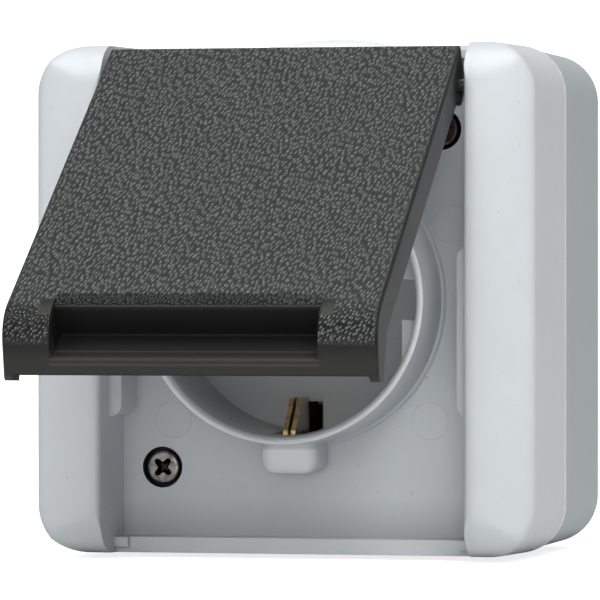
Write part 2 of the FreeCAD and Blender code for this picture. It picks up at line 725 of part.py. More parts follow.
def make_box_gasket():
    body = new_body("box_gasket")
    sketch = new_sketch(body, "XZ_Plane", f"{BOX_FRONT} - dims.gasket_depth")
    for reach in ("dims.gasket_clearance", "dims.gasket_clearance + dims.gasket_width"):
        draw(sketch, rounded_rectangle(grown(LIP_WIDTH, reach), grown(LIP_HEIGHT, reach),
                                       f"({LIP_CORNER} + {reach})"))
    extrude(body, "Pad", sketch, "dims.gasket_depth + dims.seam_gap")
    return body


def make_cable_grommet():
    """Membrane grommet: a flange outside, a neck in the hole and a snap bead inside."""
    body = new_body("cable_grommet")
    sketch = new_sketch(body, "XZ_Plane")
    neck = "dims.grommet_neck / 2"
    flange = "dims.grommet_flange / 2"
    height = "dims.grommet_flange_height"
    under = "(-dims.box_wall - dims.grommet_play)"
    bead = "(dims.grommet_neck / 2 + dims.grommet_bead)"
    inside = "(dims.grommet_neck / 2 - dims.grommet_wall)"
    dome_foot = "(dims.grommet_neck / 2 - dims.grommet_wall / 2)"
    dome_radius = f"(({dome_foot}^2 + dims.grommet_dome^2) / 2 / dims.grommet_dome)"
    draw(sketch, [
        ("0", "-dims.grommet_web"),
        (inside, "-dims.grommet_web"),
        (inside, f"({under} - 2 * dims.grommet_bead)"),
        (neck, f"({under} - 2 * dims.grommet_bead)"),
        (bead, f"({under} - dims.grommet_bead)"),
        (bead, under),
        (neck, under),
        (neck, "0"),
        (flange, "0"),
        (flange, f"({height} / 2)"),
        (f"({flange} - {height} / 2)", height),
        (dome_foot, height, dome_radius, "left"),
        ("0", f"({height} + dims.grommet_dome)"),
    ])
    turn = body.newObject("PartDesign::Revolution", "grommet_turn")
    turn.Profile = sketch
    turn.ReferenceAxis = (sketch, ["V_Axis"])
    turn.Angle = 360.0
    body.setExpression("Placement.Base.y", f"-{ENTRY_AT}")
    body.setExpression("Placement.Base.z", f"{BOX_HEIGHT} / 2")
    doc.recompute()
    return body


# Lid: drawn closed, then swung about its hinge to the open pose
FACE = f"({HINGE_AT} + dims.hinge_inset)"
TOP = f"({HINGE_HEIGHT} + dims.hinge_drop)"
TILT = "(dims.lid_end_tilt * 1 deg)"
ROLL_DEPTH = f"(dims.lid_roll_radius * (1 - cos({TILT})))"
ROLL_START = f"({LID_LENGTH} - dims.lid_roll_radius * sin({TILT})" \
             f" - (dims.lip_depth - {ROLL_DEPTH}) / tan({TILT}))"


def on_lid(depth, down):
    """A point of the closed lid's side view, by its depth behind the face and way down it."""
    return f"(-{FACE} + {depth})", f"({TOP} - {down})"


def swing_open(shape_holder):
    """Turns a piece of the lid from its closed place to the open pose."""
    hinge = Vector(0, -number(HINGE_AT), number(HINGE_HEIGHT))
    turn = Rotation(Vector(1, 0, 0), -number("dims.open_angle"))
    shape_holder.Placement = Placement(Vector(), turn, hinge) * shape_holder.Placement
    doc.recompute()


def make_lid():
    body = new_body("lid")
    roll_end = f"({ROLL_START} + dims.lid_roll_radius * sin({TILT}))"
    skirt = "dims.skirt_depth"
    last = pad(body, "YZ_Plane", "0", [
        (*on_lid("dims.lid_top_radius", "0"), "dims.lid_top_radius", "left"),
        on_lid("0", "dims.lid_top_radius"),
        (*on_lid("0", ROLL_START), "dims.lid_roll_radius", "left"),
        on_lid(ROLL_DEPTH, roll_end),
        on_lid("dims.lip_depth", LID_LENGTH),
        on_lid("(dims.lip_depth + dims.lip_turn)", f"({LID_LENGTH} - dims.lip_turn_rise)"),
        on_lid("dims.foot_depth", f"({LID_LENGTH} - dims.foot_rise)"),
        on_lid(skirt, FOOT_START),
        on_lid(skirt, "0"),
    ], LID_WIDTH, symmetric=True)
    side = number(f"{LID_WIDTH} / 2")
    face = -number(FACE)
    near = number("dims.tiny")
    rear = face + number("dims.skirt_depth - dims.lid_edge_radius")
    names = edges_within(last, along=(face - near, face + number("dims.lip_depth") + near),
                         accept=lambda edge: abs(abs(edge.BoundBox.XMin) - side) < near
                         and abs(abs(edge.BoundBox.XMax) - side) < near
                         and edge.BoundBox.YMin < rear
                         and edge.BoundBox.ZMin < edge.BoundBox.ZMax - near)
    fillet(body, last, names, "dims.lid_edge_radius")
    corner = "dims.lid_corner_radius"
    for sign, turn in (("", "right"), ("-", "left")):
        pocket(body, "XZ_Plane", f"({FACE} + dims.overrun)", [
            (f"{sign}({LID_WIDTH} / 2 - {corner})", TOP, corner, turn),
            (f"{sign}{LID_WIDTH} / 2", f"({TOP} - {corner})"),
            (f"{sign}({LID_WIDTH} / 2 + dims.overrun)", f"({TOP} - {corner})"),
            (f"{sign}({LID_WIDTH} / 2 + dims.overrun)", f"({TOP} + dims.overrun)"),
            (f"{sign}({LID_WIDTH} / 2 - {corner})", f"({TOP} + dims.overrun)"),
        ], "dims.skirt_depth + 2 * dims.overrun")
    behind = "(dims.pocket_depth + dims.lid_plate)"
    away = "(dims.foot_depth + dims.overrun)"
    wall = "dims.lid_skirt"
    end = f"({LID_LENGTH} + dims.tiny)"
    pocket(body, "YZ_Plane", "0", [
        on_lid("dims.lid_plate", wall),
        on_lid("dims.lid_plate", BLOCK_TOP),
        on_lid(behind, f"({BLOCK_TOP} + dims.pocket_draft)"),
        on_lid(behind, f"({LID_LENGTH} - dims.lip_web)"),
        on_lid("dims.lip_depth", end),
        on_lid(away, end),
        on_lid(away, wall),
    ], f"{LID_WIDTH} - 2 * dims.lid_skirt", symmetric=True)
    pad(body, "YZ_Plane", "dims.pocket_offset", [
        on_lid("dims.lid_plate", BLOCK_TOP),
        on_lid(behind, f"({BLOCK_TOP} + dims.pocket_draft)"),
        on_lid(behind, f"({LID_LENGTH} - dims.lip_web)"),
        on_lid("dims.lip_depth", f"({LID_LENGTH} - dims.lip_web)"),
    ], "dims.pocket_width + 2 * dims.lid_plate", symmetric=True)
    last = pocket(body, "YZ_Plane", "dims.pocket_offset", [
        on_lid("-dims.overrun", POCKET_TOP),
        on_lid("0", POCKET_TOP),
        on_lid("dims.pocket_depth", f"({POCKET_TOP} - dims.pocket_lean)"),
        on_lid("dims.pocket_depth", f"({POCKET_TOP} + dims.pocket_height)"),
        on_lid("dims.lip_front", f"({LID_LENGTH} - dims.lip_band)"),
        on_lid("dims.lip_front", f"({LID_LENGTH} + dims.overrun)"),
        on_lid("-dims.overrun", f"({LID_LENGTH} + dims.overrun)"),
    ], "dims.pocket_width", symmetric=True)
    rim = number(f"{TOP} - {POCKET_TOP}")
    names = edges_within(last, along=(face - near, face + near), up=(rim - near, rim + near),
                         accept=runs_along("X"))
    fillet(body, last, names, "dims.pocket_roll")
    wall = f"({LID_WIDTH} / 2 - dims.lid_skirt / 2)"
    lip_rear = f"(-{FACE} + dims.lip_depth - dims.tiny)"
    pad(body, "XY_Plane", f"({TOP} - {LID_LENGTH} + dims.foot_rise + dims.tiny)", [
        (f"({wall} - dims.gusset_width)", lip_rear),
        (wall, lip_rear),
        (wall, f"(-{FACE} + dims.gusset_depth)"),
    ], "dims.gusset_sheet")
    hinge = [(f"-{HINGE_AT}", HINGE_HEIGHT)]
    for sign in ("", "-"):
        bore(body, "YZ_Plane", f"{sign}({LID_WIDTH} / 2 - dims.knuckle_width / 2)", hinge,
             "dims.knuckle_radius", "dims.knuckle_width", kind="Pad", symmetric=True)
    bore(body, "YZ_Plane", "0", hinge, "dims.pin_diameter / 2", f"2 * {LID_WIDTH}", symmetric=True)
    tail = [(f"(-{HINGE_AT} + dims.spring_radius * cos({SPRING_TAIL}))",
             f"({HINGE_HEIGHT} + dims.spring_radius * sin({SPRING_TAIL}))")]
    bore(body, "YZ_Plane", f"(dims.knuckle_width - {LID_WIDTH} / 2)", tail, SPRING_HOLE,
         "dims.spring_end + dims.spring_play")
    seat = new_sketch(body, "XZ_Plane", f"{FACE} - dims.lid_plate")
    draw_circle(seat, "0", "0", "dims.crest_radius + dims.seal_width / 2 + dims.seal_clearance")
    draw_circle(seat, "0", "0", "dims.crest_radius - dims.seal_width / 2 - dims.seal_clearance")
    extrude(body, "Pocket", seat, "dims.seal_seat", backwards=True)
    swing_open(body)
    return body


def make_lid_seal():
    body = new_body("lid_seal")
    sketch = new_sketch(body, "XZ_Plane", f"{FACE} - dims.lid_plate + dims.seal_seat - dims.seal_height")
    draw_circle(sketch, "0", "0", "dims.crest_radius + dims.seal_width / 2")
    draw_circle(sketch, "0", "0", "dims.crest_radius - dims.seal_width / 2")
    extrude(body, "Pad", sketch, "dims.seal_height")
    swing_open(body)
    return body


# Simple pieces from primitives whose sizes follow the sheet
def bind(item, **expressions):
    for name, expression in expressions.items():
        item.setExpression(name.replace("_", "."), expression)
    return item


def block(name, across, along, up):
    """A box between two distances along X, from the wall (along) and along Z."""
    item = doc.addObject("Part::Box", name)
    bind(item, Length=f"({across[1]}) - ({across[0]})", Width=f"({along[1]}) - ({along[0]})",
         Height=f"({up[1]}) - ({up[0]})")
    return bind(item, Placement_Base_x=across[0], Placement_Base_y=f"-({along[1]})",
                Placement_Base_z=up[0])


def rod(name, across, up, along, radius):
    """A cylinder square to the wall between two distances from it."""
    item = doc.addObject("Part::Cylinder", name)
    item.Placement.Rotation = Rotation(Vector(1, 0, 0), 90)
    bind(item, Radius=radius, Height=f"({along[1]}) - ({along[0]})")
    return bind(item, Placement_Base_x=across, Placement_Base_y=f"-({along[0]})", Placement_Base_z=up)


def cross_rod(name, across, along, up, radius):
    """A cylinder along X between two places."""
    item = doc.addObject("Part::Cylinder", name)
    item.Placement.Rotation = Rotation(Vector(0, 1, 0), 90)
    bind(item, Radius=radius, Height=f"({across[1]}) - ({across[0]})")
    return bind(item, Placement_Base_x=across[0], Placement_Base_y=f"-({along})", Placement_Base_z=up)


def joined(name, pieces):
    item = doc.addObject("Part::MultiFuse", name)
    item.Shapes = pieces
    item.Refine = True
    return item


def cut(name, base, tools):
    item = doc.addObject("Part::Cut", name)
    item.Base = base
    item.Tool = tools[0] if len(tools) == 1 else joined(name + "_tools", tools)
    return item


def group(name, pieces):
    """Separate solids that share one node."""
    item = doc.addObject("Part::Compound", name)
    item.Links = pieces
    item.Label = name
    return item


def make_hinge_pins():
    pins = []
    for sign in (1, -1):
        inner = f"({LID_WIDTH} / 2 - dims.knuckle_width - dims.pin_inner)"
        outer = "(dims.recess_width / 2 + dims.pin_engagement)"
        across = (inner, outer) if sign > 0 else (f"-{outer}", f"-{inner}")
        pins.append(cross_rod("hinge_pin", across, HINGE_AT, HINGE_HEIGHT,
                              "dims.pin_diameter / 2"))
    item = group("hinge_pins", pins)
    doc.recompute()
    swing_open(item)
    return item


def make_lid_spring():
    """Torsion spring: its tail goes into the lid's left knuckle, its leg into the recess floor."""
    radius = number("dims.spring_radius")
    wire = number("dims.spring_wire")
    pitch = number("dims.spring_wire + dims.spring_turn_gap")
    turns = number("dims.spring_turns")
    left = number(SPRING_LEFT)
    centre = Vector(0, -number(HINGE_AT), number(HINGE_HEIGHT))
    begin = math.pi / 2

    def place(turn):
        angle = begin + 2 * math.pi * turn
        return centre + Vector(left + pitch * turn, radius * math.cos(angle), radius * math.sin(angle))

    helix = Part.makeHelix(pitch, pitch * turns, radius)
    heading = Vector(0, 2 * math.pi * radius, pitch)
    section = Part.Wire(Part.makeCircle(wire / 2, Vector(radius, 0, 0), heading))
    shape = Part.Wire(helix).makePipeShell([section], True, True)
    onto_pin = Rotation(Vector(1, 0, 0), math.degrees(begin)) * Rotation(Vector(1, 1, 1), 120)
    shape.Placement = Placement(centre + Vector(left, 0, 0), onto_pin)
    ends = (
        (0, Vector(-1, 0, 0), number("dims.spring_wire + dims.spring_end")),
        (turns, Vector(0, 1, 0), number(f"{HINGE_AT} - {RECESS_AT} + dims.spring_end")),
    )
    for turn, direction, length in ends:
        knee = Part.makeSphere(number("dims.spring_knee"), place(turn))
        shape = shape.fuse(knee.fuse(Part.makeCylinder(wire / 2, length, place(turn), direction)))
    item = doc.addObject("Part::Feature", "lid_spring")
    item.Shape = shape
    return item


# Fasteners
HEAD_SEAT = f"({FRONT} - dims.recess_depth - dims.screw_counterbore_depth + dims.screw_seal_height)"


def screw(name, across, up, seat, head, shank):
    """A pan head screw with a cross recess. head and shank are (diameter, height) pairs."""
    head_rod = rod(name + "_head", across, up, (seat, f"{seat} + {head[1]}"), f"({head[0]}) / 2")
    rounded = doc.addObject("Part::Fillet", name + "_rounded")
    rounded.Base = head_rod
    doc.recompute()
    rim = -number(f"{seat} + {head[1]} - dims.tiny")
    index = [i for i, edge in enumerate(head_rod.Shape.Edges, start=1) if edge.BoundBox.YMax < rim][0]
    radius = number("dims.screw_head_round")
    rounded.Edges = [(index, radius, radius)]
    shank_rod = rod(name + "_shank", across, up, (f"{seat} - {shank[1]}", seat), f"({shank[0]}) / 2")
    whole = joined(name + "_body", [rounded, shank_rod])
    long_half = f"(dims.recess_slot_share * {head[0]})"
    short_half = "(dims.recess_slot / 2)"
    depth = (f"{seat} + {head[1]} - dims.recess_slot_depth", f"{seat} + {head[1]} + dims.overrun")
    slots = []
    for wide, tall in ((long_half, short_half), (short_half, long_half)):
        slots.append(block(name + "_slot", (f"{across} - {wide}", f"{across} + {wide}"), depth,
                           (f"{up} - {tall}", f"{up} + {tall}")))
    return cut(name, whole, slots)


def ring(name, across, up, along, outer, inner):
    """A flat ring about an axis square to the wall."""
    return cut(name, rod(name + "_outer", across, up, along, outer),
               [rod(name + "_inner", across, up,
                    (f"{along[0]} - dims.overrun", f"{along[1]} + dims.overrun"), inner)])


def make_cover_screws():
    return group("cover_screws", [
        screw("cover_screw", across, up, HEAD_SEAT, ("dims.screw_head_diameter", "dims.screw_head_height"),
              ("dims.screw_shank", "dims.screw_length")) for across, up in SCREW_PLACES])


def make_screw_seals():
    return group("screw_seals", [
        ring("screw_seal", across, up, (f"{HEAD_SEAT} - dims.screw_seal_height", HEAD_SEAT),
             "dims.screw_counterbore / 2 - dims.screw_seal_clearance",
             "dims.screw_shank / 2 + dims.screw_seal_clearance") for across, up in SCREW_PLACES])


def make_thread_inserts():
    return group("thread_inserts", [
        ring("thread_insert", across, up, (f"{POST_TOP} - dims.insert_length", POST_TOP),
             "dims.insert_diameter / 2", "dims.screw_shank / 2") for across, up in SCREW_PLACES])


# Contact carrier with its contacts, terminals and earth strap
CARRIER_FRONT = f"({CUP_BACK_AT} - dims.carrier_gap)"
CARRIER_BACK = f"({CARRIER_FRONT} - dims.carrier_depth)"
CHAMBER_TOP = f"({CARRIER_FRONT} - dims.carrier_front_wall)"
STRIP_BACK = f"({CHAMBER_TOP} - dims.contact_sheet)"
CONTACT_OUTER = "(dims.contact_bore / 2 + dims.contact_sheet)"
STRAP_BACK = f"({CARRIER_FRONT} - dims.strap_sheet)"


def make_contact_carrier():
    body = new_body("contact_carrier")
    pad(body, "XZ_Plane", CARRIER_BACK,
        rounded_rectangle("dims.carrier_width", "dims.carrier_height", "dims.carrier_round"),
        "dims.carrier_depth")
    for side, up in (("-", "dims.carrier_screw_z"), ("", "-dims.carrier_screw_z")):
        pad(body, "XZ_Plane", EAR_BACK,
            rectangle(f"{side}dims.ear_root", f"({up} - dims.ear_height / 2)",
                      f"{side}dims.ear_width / 2", f"({up} + dims.ear_height / 2)"),
            "dims.ear_thickness")
    pocket(body, "XZ_Plane", CARRIER_FRONT,
           rectangle("-(dims.strap_width / 2 + dims.contact_clearance)", "-dims.carrier_height",
                     "(dims.strap_width / 2 + dims.contact_clearance)", "dims.carrier_height"),
           "dims.strap_sheet")
    bore(body, "XZ_Plane", CARRIER_FRONT, PIN_PLACES, "dims.pin_entry / 2", "dims.carrier_front_wall")
    bore(body, "XZ_Plane", CARRIER_BACK, PIN_PLACES, f"{CONTACT_OUTER} + dims.contact_clearance",
         f"{CHAMBER_TOP} - {CARRIER_BACK}", backwards=True)
    room = "(dims.terminal_width / 2 + dims.contact_clearance)"
    for side in ("", "-"):
        pocket(body, "XZ_Plane", CARRIER_BACK,
               rectangle(f"{side}dims.pin_spacing / 2", f"-{room}", f"{side}dims.carrier_width", room),
               f"{CHAMBER_TOP} - {CARRIER_BACK}", backwards=True)
    terminals = [("-dims.terminal_x", "0"), ("dims.terminal_x", "0")]
    bore(body, "XZ_Plane", CARRIER_FRONT, terminals, "dims.terminal_head / 2 + dims.contact_clearance",
         "dims.carrier_front_wall")
    pocket(body, "XZ_Plane", CARRIER_BACK,
           rectangle(f"-{room}", "(dims.earth_terminal_z - dims.contact_clearance)",
                     room, "dims.carrier_height"),
           f"{STRAP_BACK} - {CARRIER_BACK}", backwards=True)
    bore(body, "XZ_Plane", CARRIER_FRONT, EAR_PLACES,
         "dims.carrier_screw_shank / 2 + dims.screw_clearance", "dims.ear_thickness")
    bore(body, "XZ_Plane", CARRIER_BACK, PLATE_PLACES, "dims.plate_screw_shank / 2",
         "dims.plate_screw_length", backwards=True)
    return body


def make_carrier_plate():
    body = new_body("carrier_back_plate")
    pad(body, "XZ_Plane", f"{CARRIER_BACK} - dims.carrier_plate",
        rounded_rectangle("dims.carrier_width", "dims.carrier_height", "dims.carrier_round"),
        "dims.carrier_plate")
    bore(body, "XZ_Plane", CARRIER_BACK, PLATE_PLACES,
         "dims.plate_screw_shank / 2 + dims.screw_clearance", "dims.carrier_plate")
    return body


def mirrored_range(side, near, far):
    return (near, far) if side == "" else (f"-({far})", f"-({near})")


def make_contact(label, side):
    """A slotted spring sleeve for the pin, with a strip out to its terminal."""
    centre = f"{side}dims.pin_spacing / 2"
    back = f"({CHAMBER_TOP} - dims.contact_length)"
    sleeve = ring(label + "_sleeve", centre, "0", (back, CHAMBER_TOP), CONTACT_OUTER,
                  "dims.contact_bore / 2")
    strip = block(label + "_strip",
                  mirrored_range(side, f"dims.pin_spacing / 2 + {CONTACT_OUTER} - dims.contact_sheet / 2",
                                 "dims.terminal_x + dims.terminal_width / 2"),
                  (STRIP_BACK, CHAMBER_TOP), ("-dims.strip_width / 2", "dims.strip_width / 2"))
    slit = block(label + "_slit", (f"{centre} - dims.contact_slit / 2", f"{centre} + dims.contact_slit / 2"),
                 (f"{back} - dims.overrun", f"{STRIP_BACK} - dims.contact_sheet"),
                 ("-dims.overrun", "dims.overrun"))
    hole = rod(label + "_hole", f"{side}dims.terminal_x", "0",
               (f"{STRIP_BACK} - dims.overrun", f"{CHAMBER_TOP} + dims.overrun"),
               "dims.terminal_shank / 2 + dims.screw_clearance")
    return cut(label, joined(label + "_sheet", [sleeve, strip]), [slit, hole])


def make_terminal(label, side):
    """A brass block under the contact's strip, with a cross hole for the wire."""
    half = "dims.terminal_width / 2"
    body = block(label + "_block", (f"{side}dims.terminal_x - {half}", f"{side}dims.terminal_x + {half}"),
                 (f"{STRIP_BACK} - dims.terminal_height", STRIP_BACK), (f"-{half}", half))
    wire = cross_rod(label + "_wire", (f"{side}dims.terminal_x - dims.terminal_width",
                                       f"{side}dims.terminal_x + dims.terminal_width"),
                     f"{STRIP_BACK} - dims.wire_hole_at", "0", "dims.wire_hole / 2")
    thread = rod(label + "_thread", f"{side}dims.terminal_x", "0",
                 (f"{STRIP_BACK} - dims.wire_hole_at", f"{STRIP_BACK} + dims.overrun"),
                 "dims.terminal_shank / 2")
    return cut(label, body, [wire, thread])


def make_earth_terminal():
    half = "dims.terminal_width / 2"
    top = "(dims.earth_terminal_z + dims.terminal_width)"
    body = block("earth_block", (f"-{half}", half),
                 (f"{STRAP_BACK} - dims.terminal_height", STRAP_BACK), ("dims.earth_terminal_z", top))
    middle = f"({STRAP_BACK} - dims.terminal_height / 2)"
    wire = cross_rod("earth_wire", ("-dims.terminal_width", "dims.terminal_width"), middle,
                     f"({top} - dims.wire_hole_at)", "dims.wire_hole / 2")
    thread = upright("earth_thread", middle, (f"{top} - dims.wire_hole_at", f"{top} + dims.overrun"),
                     "dims.terminal_shank / 2")
    return cut("earth_terminal", body, [wire, thread])


def upright(name, along, up, radius):
    """A cylinder along Z on the middle plane."""
    item = doc.addObject("Part::Cylinder", name)
    bind(item, Radius=radius, Height=f"({up[1]}) - ({up[0]})")
    return bind(item, Placement_Base_y=f"-({along})", Placement_Base_z=up[0])


def make_terminal_screws():
    head = ("dims.terminal_head", "dims.terminal_head_height")
    shank = ("dims.terminal_shank", "dims.terminal_screw_length")
    screws = [screw("terminal_screw", f"{side}dims.terminal_x", "0", CHAMBER_TOP, head, shank)
              for side in ("", "-")]
    top = "(dims.earth_terminal_z + dims.terminal_width)"
    middle = f"({STRAP_BACK} - dims.terminal_height / 2)"
    screws.append(joined("earth_screw", [
        upright("earth_screw_head", middle, (top, f"{top} + dims.terminal_head_height"),
                "dims.terminal_head / 2"),
        upright("earth_screw_shank", middle, (f"{top} - dims.terminal_screw_length", top),
                "dims.terminal_shank / 2")]))
    return group("terminal_screws", screws)


def make_carrier_screws():
    return group("carrier_screws", [
        screw("carrier_screw", across, up, CARRIER_FRONT,
              ("dims.carrier_screw_head", "dims.terminal_head_height"),
              ("dims.carrier_screw_shank", "dims.carrier_screw_length")) for across, up in EAR_PLACES])


def make_plate_screws():
    """Two screws from behind that hold the plate on the carrier."""
    seat = f"({CARRIER_BACK} - dims.carrier_plate)"
    screws = []
    for across, up in PLATE_PLACES:
        screws.append(joined("plate_screw", [
            rod("plate_screw_head", across, up, (f"{seat} - dims.plate_screw_head_height", seat),
                "dims.plate_screw_head / 2"),
            rod("plate_screw_shank", across, up,
                (seat, f"{seat} + dims.carrier_plate + dims.plate_screw_length - dims.pin_end_gap"),
                "dims.plate_screw_shank / 2")]))
    return group("plate_screws", screws)


def make_earth_strap():
    """A strip across the carrier whose ends rise into the cup as folded pairs of leaves."""
    body = new_body("earth_strap")
    reach = "dims.clip_outer"
    wide = "dims.strap_width / 2"
    slim = "(dims.leaf_gap / 2 + dims.leaf_sheet)"
    pad(body, "XZ_Plane", STRAP_BACK, [
        (f"-{slim}", f"-{reach}"),
        (slim, f"-{reach}"),
        (slim, "-dims.strap_shoulder"),
        (wide, "-dims.strap_shoulder"),
        (wide, "dims.strap_shoulder"),
        (slim, "dims.strap_shoulder"),
        (slim, reach),
        (f"-{slim}", reach),
        (f"-{slim}", "dims.strap_shoulder"),
        (f"-{wide}", "dims.strap_shoulder"),
        (f"-{wide}", "-dims.strap_shoulder"),
        (f"-{slim}", "-dims.strap_shoulder"),
    ], "dims.strap_sheet")
    tip = f"-({FRONT} - dims.clip_front_setback)"
    nose = f"-({FRONT} - dims.clip_nose_setback)"
    rear = f"-({CUP_FLOOR_AT} + dims.leaf_rear_gap)"
    for sign in ("", "-"):
        for side in ("", "-"):
            pad(body, "YZ_Plane", f"{side}(dims.leaf_gap / 2 + dims.leaf_sheet / 2)", [
                (rear, f"{sign}{reach}"),
                (tip, f"{sign}{reach}"),
                (tip, f"{sign}({reach} - dims.leaf_tip)"),
                (nose, f"{sign}(dims.clip_inner + dims.leaf_nose)"),
                (f"({nose} + dims.leaf_shoulder)", f"{sign}(dims.clip_inner + dims.leaf_shoulder)"),
                (f"({nose} + dims.leaf_nose)", f"{sign}dims.clip_inner"),
                (rear, f"{sign}dims.clip_inner"),
            ], "dims.leaf_sheet", symmetric=True)
        pad(body, "XZ_Plane", CARRIER_FRONT,
            rectangle(f"-{slim}", f"{sign}({reach} - dims.leaf_sheet)", slim, f"{sign}{reach}"),
            f"{FRONT} - dims.clip_nose_setback - {CARRIER_FRONT}")
    return body


SUBPARTS = [
    make_rear_box(),
    make_box_gasket(),
    make_cable_grommet(),
    make_front_cover(),
    make_cover_screws(),
    make_screw_seals(),
    make_thread_inserts(),
    make_lid(),
    make_lid_seal(),
    make_hinge_pins(),
    make_lid_spring(),
    make_contact_carrier(),
    make_carrier_plate(),
    make_contact("line_contact", "-"),
    make_contact("neutral_contact", ""),
    make_terminal("line_terminal", "-"),
    make_terminal("neutral_terminal", ""),
    make_earth_strap(),
    make_earth_terminal(),
    make_terminal_screws(),
    make_carrier_screws(),
    make_plate_screws(),
]
doc.recompute()

for item in doc.Objects:
    if "Invalid" in item.State or "Error" in item.State:
        raise RuntimeError(f"{item.Label} failed: {item.State}")

os.makedirs("parts", exist_ok=True)
for item in SUBPARTS:
    if item.Shape.isNull() or not item.Shape.isValid():
        raise RuntimeError(f"{item.Label} has no valid shape")
    item.Shape.exportStep(f"parts/{item.Label}.step")
    print(item.Label, len(item.Shape.Solids), round(item.Shape.Volume, 1))
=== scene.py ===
import math

import bmesh
import bpy
from mathutils import Matrix, Vector


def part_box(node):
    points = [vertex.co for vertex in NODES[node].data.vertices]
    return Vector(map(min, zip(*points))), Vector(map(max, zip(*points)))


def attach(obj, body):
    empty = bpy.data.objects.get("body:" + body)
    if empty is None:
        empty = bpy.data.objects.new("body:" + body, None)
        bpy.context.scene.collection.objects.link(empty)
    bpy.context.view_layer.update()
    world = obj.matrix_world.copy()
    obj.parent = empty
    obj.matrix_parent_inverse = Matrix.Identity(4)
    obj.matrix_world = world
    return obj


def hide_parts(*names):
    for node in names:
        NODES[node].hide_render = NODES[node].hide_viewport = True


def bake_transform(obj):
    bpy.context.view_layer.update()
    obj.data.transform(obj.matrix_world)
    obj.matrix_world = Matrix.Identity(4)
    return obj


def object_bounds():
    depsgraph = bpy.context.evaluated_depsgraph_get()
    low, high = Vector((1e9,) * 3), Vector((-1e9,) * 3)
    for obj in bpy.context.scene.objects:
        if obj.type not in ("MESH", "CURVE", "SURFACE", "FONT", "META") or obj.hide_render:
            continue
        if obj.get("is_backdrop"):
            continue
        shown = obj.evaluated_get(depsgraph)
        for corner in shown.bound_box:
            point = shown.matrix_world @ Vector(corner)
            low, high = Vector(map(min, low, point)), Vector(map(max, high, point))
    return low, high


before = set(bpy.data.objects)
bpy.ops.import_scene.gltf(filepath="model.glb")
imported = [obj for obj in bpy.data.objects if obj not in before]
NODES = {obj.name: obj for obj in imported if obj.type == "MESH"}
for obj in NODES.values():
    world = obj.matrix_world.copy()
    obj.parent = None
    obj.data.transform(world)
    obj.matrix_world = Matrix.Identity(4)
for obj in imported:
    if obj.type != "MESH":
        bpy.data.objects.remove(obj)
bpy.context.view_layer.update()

bl_info = {
    "name": "Outdoor weatherproof socket",
    "version": (1, 0, 0),
    "blender": (4, 5, 0),
    "location": "View3D > Sidebar > Socket",
    "description": "Finishes, moulding marks and studio for a surface socket with a sprung lid",
    "category": "Object",
}

MM = 0.001

# Places in the lid's own closed frame, in metres: behind its face and down from its top
LID_OPEN = math.radians(55.6)
HINGE = Vector((0.0, -54.2 * MM, 31.6 * MM))
LID_FACE = 58.59 * MM
LID_TOP = 36.3 * MM
LID_HALF = 26.8 * MM
ROLL_START = 67.62 * MM
ROLL_RADIUS = 5.8 * MM
GRAIN_END = ROLL_START + 5.4 * MM
POCKET_MIDDLE = -0.8 * MM
POCKET_HALF = 19.15 * MM
POCKET_TOP = 67.25 * MM
POCKET_LINE = 0.9 * MM
LIP_START = POCKET_TOP + 3.3 * MM
LIP_BEHIND = 5.2 * MM

# Places on the cover: how far forward they lie, and how far from the middle
RIM_AT = -31.2 * MM
CLIP_REAR = -40.6 * MM
RECESS_FLOOR = -42.6 * MM
CREST_AT = -55.9 * MM
CUP_RADIUS = 20.45 * MM
CREST_REACH = 22.5 * MM
RECESS_HALF = 27.7 * MM
HOUSING_HALF = 4.1 * MM
HOUSING_INNER = 22.4 * MM
HOUSING_OUTER = 29.0 * MM
SIDES_FROM = 36.2 * MM
ENDS_FROM = 36.4 * MM
LOW_SHADE_FROM = -30.0 * MM
LOW_SHADE_TO = -35.2 * MM

# Old specks on the recess floor: across, up and radius
SPECKS = ((19.4 * MM, -11.7 * MM, 0.34 * MM), (22.8 * MM, -11.2 * MM, 0.14 * MM),
          (-14.2 * MM, -31.6 * MM, 0.12 * MM))

# Middles of the ejector marks, across and up, each on both sides
MARKS = ((19.9 * MM, -18.3 * MM), (23.0 * MM, 11.3 * MM))

# Cover screws: their axes across and up, the angle of each cross, and the sizes of a head
SCREWS = ((-21.6 * MM, -25.5 * MM, 47.0), (21.6 * MM, 25.5 * MM, 20.0))
HEAD_RADIUS = 2.6 * MM
HEAD_HEIGHT = 2.0 * MM
HEAD_ROUND = 0.5 * MM
SHANK_RADIUS = 1.75 * MM
SHANK_LENGTH = 24.0 * MM
COUNTERBORE = 3.1 * MM
SCREW_STEPS = 72
ROUND_STEPS = 6

# Tones that places on the finishes take; many of them are painted shade or painted highlights
CUP_SHADE_TONE = (0.40, 0.385, 0.38, 1.0)
HOUSING_PAINTED_LIGHT_TONE = (0.86, 0.88, 0.90, 1.0)
RIM_HIGHLIGHT_TONE = (1.0, 1.0, 1.0, 1.0)
CREST_HIGHLIGHT_TONE = (0.95, 0.92, 0.92, 1.0)
SHADE_TONE = (0.12, 0.13, 0.14, 1.0)
GAP_SHADE_TONE = (0.012, 0.010, 0.009, 1.0)
SPECK_TONE = (0.42, 0.36, 0.16, 1.0)
RUST_TONE = (0.075, 0.042, 0.028, 1.0)
LEAF_SIDE_REFLECTION_TONE = (0.50, 0.47, 0.43, 1.0)
FOOT_SHADE_TONE = (0.006, 0.005, 0.004, 1.0)
SMOOTH_TONE = (0.013, 0.0125, 0.0115, 1.0)
EDGE_HIGHLIGHT_TONE = (0.085, 0.088, 0.085, 1.0)
ROLL_SHADE_TONE = (0.012, 0.012, 0.0115, 1.0)
LIP_HIGHLIGHT_TONE = (0.040, 0.038, 0.036, 1.0)
POCKET_SHADE_TONE = (0.001, 0.001, 0.001, 1.0)
